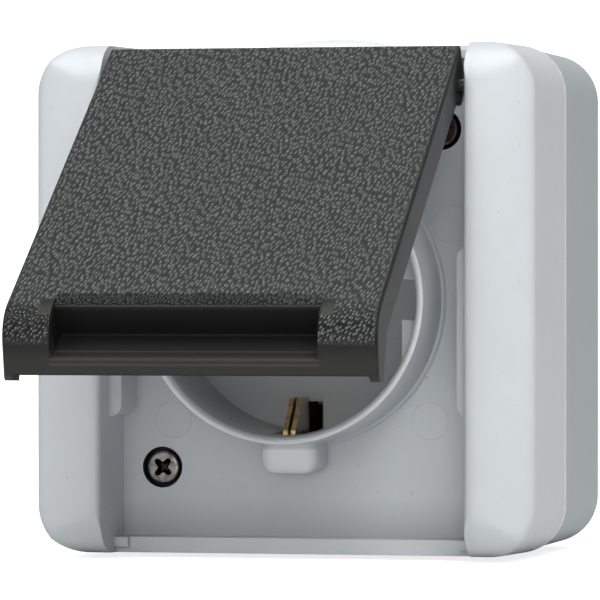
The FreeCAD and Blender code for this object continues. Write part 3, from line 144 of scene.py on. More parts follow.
PEBBLE_HIGHLIGHT_TONE = (0.27, 0.285, 0.27, 1.0)
VALLEY_SHADE_TONE = (0.011, 0.013, 0.012, 1.0)
ROLL_VALLEY_SHADE_TONE = (0.003, 0.003, 0.003, 1.0)

# Studio: the camera, the lights' size and places, and the paper floor that curves up behind
CAMERA_TARGET = Vector((0.0, -0.0365, 0.0))
CAMERA_REACH = 0.78581
CAMERA_TURN = math.radians(13.10)
CAMERA_LIFT = math.radians(0.16)
CAMERA_LENS = 310.0
CAMERA_SHIFT = (-0.0169, -0.00145)
LIGHT_WIDTH = 0.8
LIGHTS = (("Key light", "key", (0.6, -1.0, 1.1)), ("Top light", "top", (0.1, -0.2, 1.5)),
          ("Left light", "left", (-0.7, -0.7, 1.2)), ("Middle light", "middle", (0.0, -0.9, 1.3)),
          ("Front light", "front", (0.1, -1.7, 0.2)))
FLOOR_GAP = 0.5 * MM
FLOOR_HALF = 2.6
FLOOR_FRONT = -2.6
FLOOR_MIDDLE = -1.2
FLOOR_BACK = 1.6
FLOOR_BEND = 0.7
FLOOR_TOP = 2.6
BEND_STEPS = 16


# Sizes and colours that a user may change

def length(name, text, value):
    return bpy.props.FloatProperty(name=name, description=text, default=value, min=0.0,
                                   subtype="DISTANCE", unit="LENGTH", precision=5)


def share(name, text, value, top):
    return bpy.props.FloatProperty(name=name, description=text, default=value, min=0.0, max=top)


def colour(name, text, value):
    return bpy.props.FloatVectorProperty(name=name, description=text, default=value, size=3,
                                         min=0.0, max=1.0, subtype="COLOR")


def power(name, text, value):
    return bpy.props.FloatProperty(name=name, description=text, default=value, min=0.0, unit="POWER")


class SocketSizes(bpy.types.PropertyGroup):
    """Sizes of the marks and of the surface texture."""

    soft_edge: length("Soft edge", "Radius that a moulded edge seems to have", 0.00025)
    column_edge: length("Column edge", "Extra softness of the edges of the columns", 0.0022)
    housing_edge: length("Housing edge", "Extra softness of the edges of the clip housings", 0.0012)
    pin_mark_radius: length("Ejector mark radius", "Radius of a ring left by an ejector pin", 0.0028)
    pin_mark_line: length("Ejector mark line", "Width of that ring's raised line", 0.00026)
    pin_mark_rise: length("Ejector mark rise", "How far that ring stands proud", 0.000035)
    cross_reach: length("Cross reach", "How far the arms of a screw's cross reach", 0.0016)
    cross_width: length("Cross width", "Width of the arms of a screw's cross", 0.0008)
    cross_depth: length("Cross depth", "Depth of a screw's cross", 0.0011)
    pebble: length("Lid grain", "Pitch of the pebbles on the lid", 0.00054)
    pebble_rise: length("Lid grain rise", "How far the pebbles stand proud", 0.00022)


class SocketColours(bpy.types.PropertyGroup):
    """Base colours of the finishes."""

    cover: colour("Cover", "Light grey plastic of the cover", (0.560, 0.590, 0.615))
    box: colour("Rear box", "Light grey plastic of the rear box", (0.375, 0.418, 0.428))
    lid: colour("Lid", "Anthracite plastic of the lid", (0.066, 0.074, 0.070))
    carrier: colour("Contact carrier", "Plastic that carries the contacts", (0.46, 0.48, 0.49))
    rubber: colour("Seals", "Dark rubber of the seals", (0.018, 0.018, 0.019))
    grommet: colour("Grommet", "Pale soft plastic of the cable grommet", (0.77, 0.79, 0.79))
    zinc: colour("Zinc", "Plated steel of the screws", (0.24, 0.235, 0.23))
    spring: colour("Spring", "Bright spring steel", (0.56, 0.57, 0.58))
    brass: colour("Brass", "Brass of the contacts and terminals", (0.78, 0.56, 0.25))


class SocketStudio(bpy.types.PropertyGroup):
    """Strengths of the studio's lights."""

    key: power("Key light", "Power of the soft light above on the right", 11.8)
    top: power("Top light", "Power of the soft light straight above", 12.4)
    left: power("Left light", "Power of the soft light above on the left", 7.2)
    middle: power("Middle light", "Power of the soft light above the camera", 2.0)
    front: power("Front light", "Power of the soft light by the camera", 9.0)
    white: share("Surroundings", "Brightness of the white surroundings", 0.01, 4.0)


def sizes():
    return bpy.context.scene.socket_sizes


def colours():
    return bpy.context.scene.socket_colours


# Node trees

class Wiring:
    """Adds nodes to a tree and joins them, so that a tree reads as a list of steps."""

    def __init__(self, tree):
        self.tree = tree

    def node(self, kind, settings=None, **inputs):
        made = self.tree.nodes.new(kind)
        for name, value in (settings or {}).items():
            setattr(made, name, value)
        for name, value in inputs.items():
            self.feed(made.inputs[name.replace("_", " ")], value)
        return made

    def feed(self, socket, value):
        if isinstance(value, bpy.types.NodeSocket):
            self.tree.links.new(value, socket)
        elif value is not None:
            socket.default_value = value

    def math(self, operation, *values, clamp=False):
        made = self.node("ShaderNodeMath", {"operation": operation, "use_clamp": clamp})
        for socket, value in zip(made.inputs, values):
            self.feed(socket, value)
        return made.outputs[0]

    def vector_math(self, operation, *values):
        made = self.node("ShaderNodeVectorMath", {"operation": operation})
        for socket, value in zip(made.inputs, values):
            self.feed(socket, value)
        return made.outputs["Value" if operation in ("LENGTH", "DISTANCE", "DOT_PRODUCT") else "Vector"]

    def step(self, value, low, high):
        """0 below low and 1 above high, or the other way round where low is the larger."""
        made = self.node("ShaderNodeMapRange", {"interpolation_type": "SMOOTHSTEP"}, Value=value)
        turned = low > high
        self.feed(made.inputs["From Min"], min(low, high))
        self.feed(made.inputs["From Max"], max(low, high))
        self.feed(made.inputs["To Min"], 1.0 if turned else 0.0)
        self.feed(made.inputs["To Max"], 0.0 if turned else 1.0)
        return made.outputs["Result"]

    def range(self, value, to_low, to_high, low=0.0, high=1.0):
        made = self.node("ShaderNodeMapRange", Value=value)
        for name, number in (("From Min", low), ("From Max", high), ("To Min", to_low),
                             ("To Max", to_high)):
            self.feed(made.inputs[name], number)
        return made.outputs["Result"]

    def mix(self, share, first, second):
        made = self.node("ShaderNodeMix", {"data_type": "RGBA"})
        self.feed(made.inputs[0], share)
        self.feed(made.inputs[6], first)
        self.feed(made.inputs[7], second)
        return made.outputs[2]

    def both(self, first, *others):
        """The product of masks, which holds where all of them do."""
        for mask in others:
            first = self.math("MULTIPLY", first, mask)
        return first

    def without(self, mask):
        """Where a mask doesn't hold."""
        return self.math("SUBTRACT", 1.0, mask)

    def span(self, value, start, full, fading, end):
        """0 before start, 1 from full to fading, and 0 past end."""
        return self.both(self.step(value, start, full), self.step(value, end, fading))

    def paint(self, shade, mask, strength, tone):
        """A shade with a tone laid over it where a mask holds."""
        return self.mix(self.math("MULTIPLY", mask, strength), shade, tone)

    def noise(self, vector, scale, detail=2.0, roughness=0.5):
        return self.node("ShaderNodeTexNoise", Vector=vector, Scale=scale, Detail=detail,
                         Roughness=roughness).outputs["Fac"]

    def place(self):
        return self.node("ShaderNodeTexCoord").outputs["Object"]

    def split(self, vector):
        return self.node("ShaderNodeSeparateXYZ", Vector=vector).outputs

    def group(self, tree, **inputs):
        made = self.tree.nodes.new("ShaderNodeGroup")
        made.node_tree = tree
        for name, value in inputs.items():
            self.feed(made.inputs[name.replace("_", " ")], value)
        return made.outputs


def new_group(name, inputs, outputs):
    """An empty shader group with its named sockets, its wiring, its input values and its end."""
    tree = bpy.data.node_groups.new(name, "ShaderNodeTree")
    for label, kind, default in inputs:
        socket = tree.interface.new_socket(label, in_out="INPUT", socket_type=kind)
        if default is not None:
            socket.default_value = default
    for label, kind in outputs:
        tree.interface.new_socket(label, in_out="OUTPUT", socket_type=kind)
    wiring = Wiring(tree)
    return tree, wiring, wiring.node("NodeGroupInput").outputs, wiring.node("NodeGroupOutput").inputs


FLOAT, VECTOR, COLOUR = "NodeSocketFloat", "NodeSocketVector", "NodeSocketColor"


def soft_edge_group():
    """Rounded normals at sharp edges, and a mask of those edges."""
    name = "Soft edge"
    if name in bpy.data.node_groups:
        return bpy.data.node_groups[name]
    tree, w, given, ends = new_group(name, [("Radius", FLOAT, 0.0002)],
                                     [("Normal", VECTOR), ("Edge", FLOAT)])
    bevel = w.node("ShaderNodeBevel", {"samples": 6}, Radius=given["Radius"]).outputs["Normal"]
    flat = w.node("ShaderNodeNewGeometry").outputs["Normal"]
    w.feed(ends["Normal"], bevel)
    turn = w.math("SUBTRACT", 1.0, w.vector_math("DOT_PRODUCT", bevel, flat))
    w.feed(ends["Edge"], w.step(turn, 0.01, 0.2))
    return tree


def moulded_skin_group():
    """The fine texture, faint clouding and tiny specks of a moulded surface."""
    name = "Moulded skin"
    if name in bpy.data.node_groups:
        return bpy.data.node_groups[name]
    tree, w, given, ends = new_group(
        name,
        [("Vector", VECTOR, None), ("Grain", FLOAT, 4200.0), ("Cloud", FLOAT, 130.0),
         ("Colour", COLOUR, (0.5, 0.5, 0.5, 1.0)), ("Clouding", FLOAT, 0.06)],
        [("Colour", COLOUR), ("Tone", FLOAT), ("Height", FLOAT)])
    cloud = w.noise(given["Vector"], given["Cloud"], 4.0, 0.55)
    fine = w.noise(given["Vector"], given["Grain"], 2.0, 0.6)
    medium = w.noise(given["Vector"], w.math("MULTIPLY", given["Grain"], 0.22), 3.0, 0.6)
    specks = w.step(w.noise(given["Vector"], w.math("MULTIPLY", given["Grain"], 0.3), 0.0), 0.815, 0.86)
    tone = w.math("SUBTRACT", cloud, 0.5)
    gain = w.math("ADD", 1.0, w.math("MULTIPLY", tone, w.math("MULTIPLY", given["Clouding"], 2.0)))
    gain = w.math("SUBTRACT", gain, w.math("MULTIPLY", specks, 0.12))
    tinted = w.node("ShaderNodeVectorMath", {"operation": "SCALE"})
    w.feed(tinted.inputs[0], given["Colour"])
    w.feed(tinted.inputs["Scale"], gain)
    w.feed(ends["Colour"], tinted.outputs[0])
    w.feed(ends["Tone"], cloud)
    w.feed(ends["Height"], w.math("ADD", w.math("MULTIPLY", fine, 0.6), w.math("MULTIPLY", medium, 0.4)))
    return tree


def metal_skin_group():
    """Tarnish clouds and fine drawing marks of a metal part."""
    name = "Metal skin"
    if name in bpy.data.node_groups:
        return bpy.data.node_groups[name]
    tree, w, given, ends = new_group(
        name,
        [("Vector", VECTOR, None), ("Colour", COLOUR, (0.6, 0.6, 0.6, 1.0)),
         ("Tarnish", COLOUR, (0.2, 0.18, 0.15, 1.0)), ("Amount", FLOAT, 0.3)],
        [("Colour", COLOUR), ("Roughness", FLOAT), ("Height", FLOAT)])
    cloud = w.noise(given["Vector"], 900.0, 4.0, 0.6)
    stretched = w.vector_math("MULTIPLY", given["Vector"], (1.0, 0.12, 1.0))
    drawn = w.noise(stretched, 9000.0, 2.0, 0.5)
    dull = w.step(cloud, 0.42, 0.72)
    w.feed(ends["Colour"], w.mix(w.math("MULTIPLY", dull, given["Amount"]), given["Colour"],
                                 given["Tarnish"]))
    w.feed(ends["Roughness"], w.math("ADD", w.range(dull, 0.26, 0.46),
                                     w.math("MULTIPLY", drawn, 0.08)))
    w.feed(ends["Height"], w.math("ADD", w.math("MULTIPLY", cloud, 0.5), w.math("MULTIPLY", drawn, 0.5)))
    return tree


def new_material(name):
    """A material holding one Principled shader, with its wiring and that shader's inputs."""
    material = bpy.data.materials.new(name)
    material.use_nodes = True
    material.node_tree.nodes.clear()
    w = Wiring(material.node_tree)
    shader = w.node("ShaderNodeBsdfPrincipled")
    end = w.node("ShaderNodeOutputMaterial")
    w.feed(end.inputs["Surface"], shader.outputs["BSDF"])
    return material, w, shader.inputs


def dress(names, material):
    """Gives CAD nodes a finish in place of the one they came with."""
    for name in names:
        mesh = NODES[name].data
        mesh.materials.clear()
        mesh.materials.append(material)


def plastic(name, tint, roughness=0.4, clouding=0.05, bump=0.00002, edge=1.0, tinting=None,
            softening=None):
    """Satin moulded plastic. tinting may change the colour by place, and softening the edges."""
    material, w, ends = new_material(name)
    place = w.place()
    skin = w.group(moulded_skin_group(), Vector=place, Colour=(*tint, 1.0), Clouding=clouding)
    radius = softening(w, place) if softening else sizes().soft_edge * edge
    soft = w.group(soft_edge_group(), Radius=radius)
    # Painted highlight: sharp edges are lightened a little.
    shade = w.mix(w.math("MULTIPLY", soft["Edge"], 0.25), skin["Colour"],
                  (*[min(1.0, c * 1.25 + 0.02) for c in tint], 1.0))
    if tinting:
        shade = tinting(w, place, shade)
    w.feed(ends["Base Color"], shade)
    w.feed(ends["Roughness"], w.range(skin["Tone"], roughness - 0.05, roughness + 0.06))
    ends["IOR"].default_value = 1.5
    relief = w.node("ShaderNodeBump", Strength=0.35, Distance=bump, Height=skin["Height"],
                    Normal=soft["Normal"])
    w.feed(ends["Normal"], relief.outputs["Normal"])
    return material


def metal(name, tint, tarnish, amount, edge=0.5, tinting=None):
    """Bare or plated metal. tinting may change the colour by place."""
    material, w, ends = new_material(name)
    skin = w.group(metal_skin_group(), Vector=w.place(), Colour=(*tint, 1.0),
                   Tarnish=(*tarnish, 1.0), Amount=amount)
    soft = w.group(soft_edge_group(), Radius=sizes().soft_edge * edge)
    w.feed(ends["Base Color"], tinting(w, skin["Colour"]) if tinting else skin["Colour"])
    w.feed(ends["Roughness"], skin["Roughness"])
    ends["Metallic"].default_value = 1.0
    relief = w.node("ShaderNodeBump", Strength=0.3, Distance=0.00002, Height=skin["Height"],
                    Normal=soft["Normal"])
    w.feed(ends["Normal"], relief.outputs["Normal"])
    return material


def cover_softness(w, place):
    """Edges are wide and soft on the columns and on the clip's housings, and crisper elsewhere."""
    x, _, z = w.split(place)
    aside = w.math("ABSOLUTE", x)
    column = w.step(aside, RECESS_HALF + 0.2 * MM, RECESS_HALF + 1.3 * MM)
    housing = w.both(w.step(aside, HOUSING_HALF + 1.9 * MM, HOUSING_HALF + 0.9 * MM),
                     w.span(w.math("ABSOLUTE", z), HOUSING_INNER, HOUSING_INNER + 0.6 * MM,
                            HOUSING_OUTER - 1.0 * MM, HOUSING_OUTER))
    radius = w.math("ADD", sizes().soft_edge, w.math("MULTIPLY", column, sizes().column_edge))
    return w.math("ADD", radius, w.math("MULTIPLY", housing, sizes().housing_edge))


def rusted_place(w, shade):
    """The upper screw has gone brown."""
    upper = w.step(w.split(w.place())["Z"], -1.0 * MM, 1.0 * MM)
    return w.paint(shade, upper, 0.8, RUST_TONE)


def clip_places(w, shade):
    """The sides of the clip's leaves take a painted grey-brown reflection, and its foot is painted near
    black as shade.
    """
    # Painted reflection: leaf faces turned sideways take a grey-brown in place of brass.
    facing = w.split(w.node("ShaderNodeNewGeometry").outputs["True Normal"])["X"]
    shade = w.paint(shade, w.step(w.math("ABSOLUTE", facing), 0.4, 0.8), 0.9, LEAF_SIDE_REFLECTION_TONE)
    # Painted shade: the clip's rear foot is painted near black.
    foot = w.step(w.split(w.place())["Y"], CLIP_REAR - 0.8 * MM, CLIP_REAR)
    return w.mix(foot, shade, FOOT_SHADE_TONE)


def cover_places(w, place, shade):
    """Painted shade darkens and warms the cup's interior, darkens the recess floor towards the bottom and
    fills the gap round each screw head; painted light brightens the lower clip housing, and painted
    highlights line the rim's outer edge and the collar's top edge. A few old specks lie on the floor.
    """
    x, y, z = w.split(place)
    aside = w.math("ABSOLUTE", x)
    reach = w.math("SQRT", w.math("ADD", w.math("MULTIPLY", x, x), w.math("MULTIPLY", z, z)))
    # Painted shade: the cup's interior is darkened and warmed.
    cup_shade = w.both(w.step(reach, CUP_RADIUS + 0.1 * MM, CUP_RADIUS - 0.3 * MM),
                    w.step(y, CREST_AT + 0.2 * MM, CREST_AT + 1.2 * MM))
    shade = w.paint(shade, cup_shade, 0.55, CUP_SHADE_TONE)
    # Painted light: the front of the lower clip housing is painted paler.
    housing = w.both(w.step(y, RECESS_FLOOR - 4.0 * MM, RECESS_FLOOR - 9.0 * MM),
                     w.step(z, -CUP_RADIUS - 1.6 * MM, -CUP_RADIUS - 2.2 * MM),
                     w.step(aside, HOUSING_HALF + 0.7 * MM, HOUSING_HALF + 0.2 * MM))
    shade = w.paint(shade, housing, 0.8, HOUSING_PAINTED_LIGHT_TONE)
    # Painted highlight: a white line along the outer edge of the rear rim.
    outside = w.math("MAXIMUM", w.step(aside, SIDES_FROM, SIDES_FROM + 0.4 * MM),
                     w.step(w.math("ABSOLUTE", z), ENDS_FROM, ENDS_FROM + 0.4 * MM))
    rim = w.both(outside, w.step(y, RIM_AT - 1.4 * MM, RIM_AT - 0.9 * MM))
    # Painted shade: the recess floor darkens towards the bottom.
    floor = w.both(w.step(w.math("ABSOLUTE", w.math("SUBTRACT", y, RECESS_FLOOR)), 0.4 * MM, 0.2 * MM),
                   w.step(aside, RECESS_HALF + 0.2 * MM, RECESS_HALF))
    low = w.both(floor, w.range(z, 0.0, 0.34, LOW_SHADE_FROM, LOW_SHADE_TO))
    shade = w.mix(low, shade, SHADE_TONE)
    shade = w.paint(shade, rim, 0.95, RIM_HIGHLIGHT_TONE)
    # Painted highlight: a pale line on the collar's top edge round the cup.
    crest_highlight = w.both(w.step(reach, CREST_REACH, CREST_REACH - 0.3 * MM),
                   w.step(y, CREST_AT + 0.16 * MM, CREST_AT + 0.04 * MM))
    shade = w.paint(shade, crest_highlight, 0.55, CREST_HIGHLIGHT_TONE)
    flat = w.node("ShaderNodeCombineXYZ", X=x, Y=0.0, Z=z).outputs["Vector"]
    # Painted shade: the gap round each screw head in its counterbore is painted near black.
    for across, up, _ in SCREWS:
        away = w.vector_math("DISTANCE", flat, (across, 0.0, up))
        gap_shade = w.both(w.step(away, COUNTERBORE + 0.12 * MM, COUNTERBORE + 0.02 * MM),
                      w.step(y, RECESS_FLOOR, RECESS_FLOOR + 0.2 * MM))
        shade = w.paint(shade, gap_shade, 0.93, GAP_SHADE_TONE)
    for across, up, radius in SPECKS:
        near = w.vector_math("DISTANCE", place, (across, RECESS_FLOOR, up))
        shade = w.paint(shade, w.step(near, radius, radius * 0.4), 0.55, SPECK_TONE)
    return shade


def lid_places(w, place):
    """Masks of the lid's places, and its flat coordinates: across, and down round the roll."""
    turn = Matrix.Rotation(LID_OPEN, 3, "X")
    closed = w.node("ShaderNodeMapping", {"vector_type": "POINT"}, Vector=place,
                    Location=HINGE - turn @ HINGE, Rotation=(LID_OPEN, 0.0, 0.0)).outputs["Vector"]
    x, y, z = w.split(closed)
    behind = w.math("ADD", y, LID_FACE)
    down = w.math("SUBTRACT", LID_TOP, z)
    past = w.math("MAXIMUM", w.math("SUBTRACT", down, ROLL_START), 0.0)
    square = w.math("MAXIMUM", w.math("SUBTRACT", ROLL_RADIUS ** 2, w.math("MULTIPLY", past, past)), 0.0)
    skin = w.math("SUBTRACT", ROLL_RADIUS, w.math("SQRT", square))
    off = w.math("SUBTRACT", behind, skin)
    across = w.math("ABSOLUTE", w.math("SUBTRACT", x, POCKET_MIDDLE))

    at_pocket = w.step(across, POCKET_HALF + 0.1 * MM, POCKET_HALF)
    above_roof = w.step(down, POCKET_TOP + 0.3 * MM, POCKET_TOP + 0.2 * MM)
    rim = w.both(at_pocket, w.step(down, POCKET_TOP - 2.1 * MM, POCKET_TOP - 1.8 * MM), above_roof)
    allowed = w.math("ADD", 0.4 * MM, w.math("MULTIPLY", rim, 0.4 * MM))
    on_skin = w.step(w.math("SUBTRACT", off, allowed), 0.1 * MM, -0.1 * MM)
    not_pocket = w.without(w.both(at_pocket, w.without(above_roof)))
    beside = w.math("SUBTRACT", w.step(across, POCKET_HALF + 2.1 * MM, POCKET_HALF + 1.8 * MM), at_pocket)
    corner = w.both(beside, w.span(down, POCKET_TOP - 0.9 * MM, POCKET_TOP - 0.6 * MM,
                                   POCKET_TOP + 2.2 * MM, POCKET_TOP + 2.8 * MM))
    ends = w.both(w.step(down, GRAIN_END, GRAIN_END - 0.6 * MM),
                  w.step(w.math("ABSOLUTE", x), LID_HALF - 0.2 * MM, LID_HALF - 0.6 * MM))
    grained = w.both(on_skin, not_pocket, ends, w.without(corner))
    flat = w.node("ShaderNodeCombineXYZ", X=x, Y=w.math("ADD", down, w.math("MULTIPLY", behind, 1.5)),
                  Z=0.0).outputs["Vector"]

    # The grip pocket's interior, which is painted near black as shade.
    recess = w.both(w.step(across, POCKET_HALF + 0.4 * MM, POCKET_HALF + 0.1 * MM),
                    w.span(down, POCKET_TOP - 1.2 * MM, POCKET_TOP - 1.0 * MM,
                           LIP_START - 0.1 * MM, LIP_START + 0.3 * MM),
                    w.step(off, POCKET_LINE + 0.05 * MM, POCKET_LINE + 0.2 * MM))
    # The roll and the pocket's top edge, which take painted shade and painted highlights.
    deep = w.math("MAXIMUM", w.step(down, ROLL_START - 0.6 * MM, ROLL_START + 1.6 * MM), rim)
    # Painted highlights: the lip's slope and crease, and a thin line along the pocket's roof.
    slope = w.span(behind, LIP_BEHIND - 1.0 * MM, LIP_BEHIND - 0.3 * MM,
                   LIP_BEHIND + 0.2 * MM, LIP_BEHIND + 0.4 * MM)
    crease = w.span(behind, LIP_BEHIND + 0.6 * MM, LIP_BEHIND + 0.7 * MM,
                    LIP_BEHIND + 0.9 * MM, LIP_BEHIND + 1.0 * MM)
    lip = w.both(at_pocket, w.step(down, LIP_START, LIP_START + 0.2 * MM),
                 w.math("ADD", w.math("MULTIPLY", slope, 0.6), w.math("MULTIPLY", crease, 0.65)))
    line = w.both(at_pocket, above_roof,
                  w.span(off, POCKET_LINE - 0.15 * MM, POCKET_LINE - 0.05 * MM,
                         POCKET_LINE + 0.05 * MM, POCKET_LINE + 0.15 * MM))
    # The smooth end below the grain outside the pocket, which is painted near black as shade.
    under = w.both(w.without(at_pocket), w.step(down, GRAIN_END - 1.4 * MM, GRAIN_END - 0.6 * MM),
                   w.step(behind, ROLL_RADIUS, ROLL_RADIUS - 2.4 * MM))
    return {"grained": grained, "flat": flat, "recess": recess, "deep": deep, "rim": rim,
            "pale": w.math("MAXIMUM", lip, line), "under": under}


def pebble_grain_group():
    """Rounded pebbles set close together, longer one way than the other."""
    name = "Pebble grain"
    if name in bpy.data.node_groups:
        return bpy.data.node_groups[name]
    tree, w, given, ends = new_group(
        name, [("Vector", VECTOR, None), ("Pitch", FLOAT, 0.0005)],
        [("Height", FLOAT), ("Valley", FLOAT), ("Top", FLOAT)])
    turned = w.node("ShaderNodeMapping", {"vector_type": "TEXTURE"}, Vector=given["Vector"],
                    Rotation=(0.0, 0.0, math.radians(20)), Scale=(1.0, 2.1, 1.0)).outputs["Vector"]
    cells = w.node("ShaderNodeTexVoronoi", {"feature": "F1", "voronoi_dimensions": "2D"},
                   Vector=turned, Scale=w.math("DIVIDE", 1.0, given["Pitch"]), Randomness=0.8)
    uneven = w.range(w.noise(given["Vector"], 1400.0, 1.0), 0.82, 1.16)
    high = w.math("MULTIPLY", w.step(cells.outputs["Distance"], 0.60, 0.05), uneven)
    w.feed(ends["Height"], high)
    # The Valley mask marks the low ground between pebbles, where painted shade goes.
    w.feed(ends["Valley"], w.step(high, 0.5, 0.15))
    # The Top mask marks the pebbles' tops, where painted highlights go.
    own = w.range(w.split(cells.outputs["Color"])["X"], 0.3, 1.0)
    w.feed(ends["Top"], w.math("MULTIPLY", w.step(high, 0.62, 1.04), own))
    return tree


# Operators

class SOCKET_OT_cover_finish(bpy.types.Operator):
    """Gives the front cover and the rear box their light grey satin plastic"""

    bl_idname = "socket.cover_finish"
    bl_label = "Cover and rear box"

    def execute(self, context):
        dress(["front_cover"], plastic("Cover plastic", colours().cover, roughness=0.42,
                                       tinting=cover_places, softening=cover_softness))
        dress(["rear_box"], plastic("Rear box plastic", colours().box, roughness=0.46))
        return {"FINISHED"}


class SOCKET_OT_lid_finish(bpy.types.Operator):
    """Gives the lid its pebbled face and its smooth skirt, lip and grip pocket"""

    bl_idname = "socket.lid_finish"
    bl_label = "Lid"

    def execute(self, context):
        material, w, ends = new_material("Lid plastic")
        place = w.place()
        at = lid_places(w, place)
        grained, deep, recess = at["grained"], at["deep"], at["recess"]
        grain = w.group(pebble_grain_group(), Vector=at["flat"], Pitch=sizes().pebble)
        skin = w.group(moulded_skin_group(), Vector=place, Colour=(*colours().lid, 1.0), Clouding=0.12)
        soft = w.group(soft_edge_group(), Radius=sizes().soft_edge * 2.4)
        # Painted highlight: the lid's edges are lightened; the smooth parts keep their own tone.
        tone = w.mix(grained, SMOOTH_TONE, w.paint(skin["Colour"], soft["Edge"], 0.5, EDGE_HIGHLIGHT_TONE))
        # Painted shade darkens the grain on the roll and on the pocket's top edge; painted light weakens
        # it towards the right.
        lit_right_share = w.math("MULTIPLY", w.step(w.split(place)["X"], 4.0 * MM, 20.0 * MM), 0.62)
        tone = w.mix(w.both(deep, grained, w.math("SUBTRACT", 0.8, lit_right_share)), tone, ROLL_SHADE_TONE)
        # Painted highlights on the lip and along the pocket's roof.
        tone = w.mix(at["pale"], tone, LIP_HIGHLIGHT_TONE)
        # Painted shade: the grip pocket and the smooth end below the grain are painted near black.
        pocket_and_end_shade = w.math("MAXIMUM", recess, w.math("SUBTRACT", at["under"], grained))
        tone = w.paint(tone, pocket_and_end_shade, 0.95, POCKET_SHADE_TONE)
        # Painted highlights: the pebbles' tops are lightened, a little more on the roll and less on the
        # pocket's top edge.
        highlight_share = w.math("SUBTRACT", w.range(deep, 0.62, 0.75), w.math("MULTIPLY", at["rim"], 0.6))
        tone = w.mix(w.both(grain["Top"], grained, highlight_share), tone, PEBBLE_HIGHLIGHT_TONE)
        # Painted shade in the low ground between pebbles, darker on the roll.
        valley_shade = w.both(grain["Valley"], grained, w.range(deep, 0.75, 1.0))
        w.feed(ends["Base Color"], w.mix(valley_shade, tone, w.mix(deep, VALLEY_SHADE_TONE, ROLL_VALLEY_SHADE_TONE)))
        rough = w.math("ADD", w.range(grained, 0.46, 0.34), w.math("MULTIPLY", recess, 0.15))
        w.feed(ends["Roughness"], w.math("ADD", rough, w.range(skin["Tone"], -0.04, 0.04)))
        ends["IOR"].default_value = 1.5
        ends["Specular IOR Level"].default_value = 0.3
        fine = w.node("ShaderNodeBump", Strength=0.35, Distance=0.02 * MM, Height=skin["Height"],
                      Normal=soft["Normal"])
        relief = w.node("ShaderNodeBump", Strength=1.0, Distance=sizes().pebble_rise,
                        Height=w.math("MULTIPLY", grain["Height"], grained),
                        Normal=fine.outputs["Normal"])
        w.feed(ends["Normal"], relief.outputs["Normal"])
        dress(["lid"], material)
        return {"FINISHED"}


class SOCKET_OT_inner_finish(bpy.types.Operator):
    """Gives the contact carrier, its back plate, the seals and the grommet their finishes"""

    bl_idname = "socket.inner_finish"
    bl_label = "Carrier, seals and grommet"

    def execute(self, context):
        dress(["contact_carrier", "carrier_back_plate"],
              plastic("Carrier plastic", colours().carrier, roughness=0.5))
        dress(["box_gasket", "screw_seals", "lid_seal"],
              plastic("Seal rubber", colours().rubber, roughness=0.62, clouding=0.15, bump=0.00004))
        dress(["cable_grommet"],
              plastic("Grommet plastic", colours().grommet, roughness=0.5, clouding=0.08))
        return {"FINISHED"}


class SOCKET_OT_metal_finish(bpy.types.Operator):
    """Gives the screws, pins, contacts, terminals and earth clip their metal finishes"""

    bl_idname = "socket.metal_finish"
    bl_label = "Metal parts"

    def execute(self, context):
        tints = colours()
        dress(["terminal_screws", "carrier_screws", "plate_screws"],
              metal("Zinc plated steel", tints.zinc, (0.20, 0.16, 0.12), 0.55))
        dress(["hinge_pins"], metal("Darkened steel", (0.05, 0.05, 0.052), (0.02, 0.018, 0.016), 0.5))
        dress(["thread_inserts", "line_contact", "neutral_contact", "line_terminal",
               "neutral_terminal", "earth_terminal"],
              metal("Brass", tints.brass, (0.30, 0.19, 0.08), 0.35))
        dress(["earth_strap"], metal("Clip brass", tints.brass, (0.22, 0.17, 0.11), 0.6, edge=0.3,
                                      tinting=clip_places))
        return {"FINISHED"}


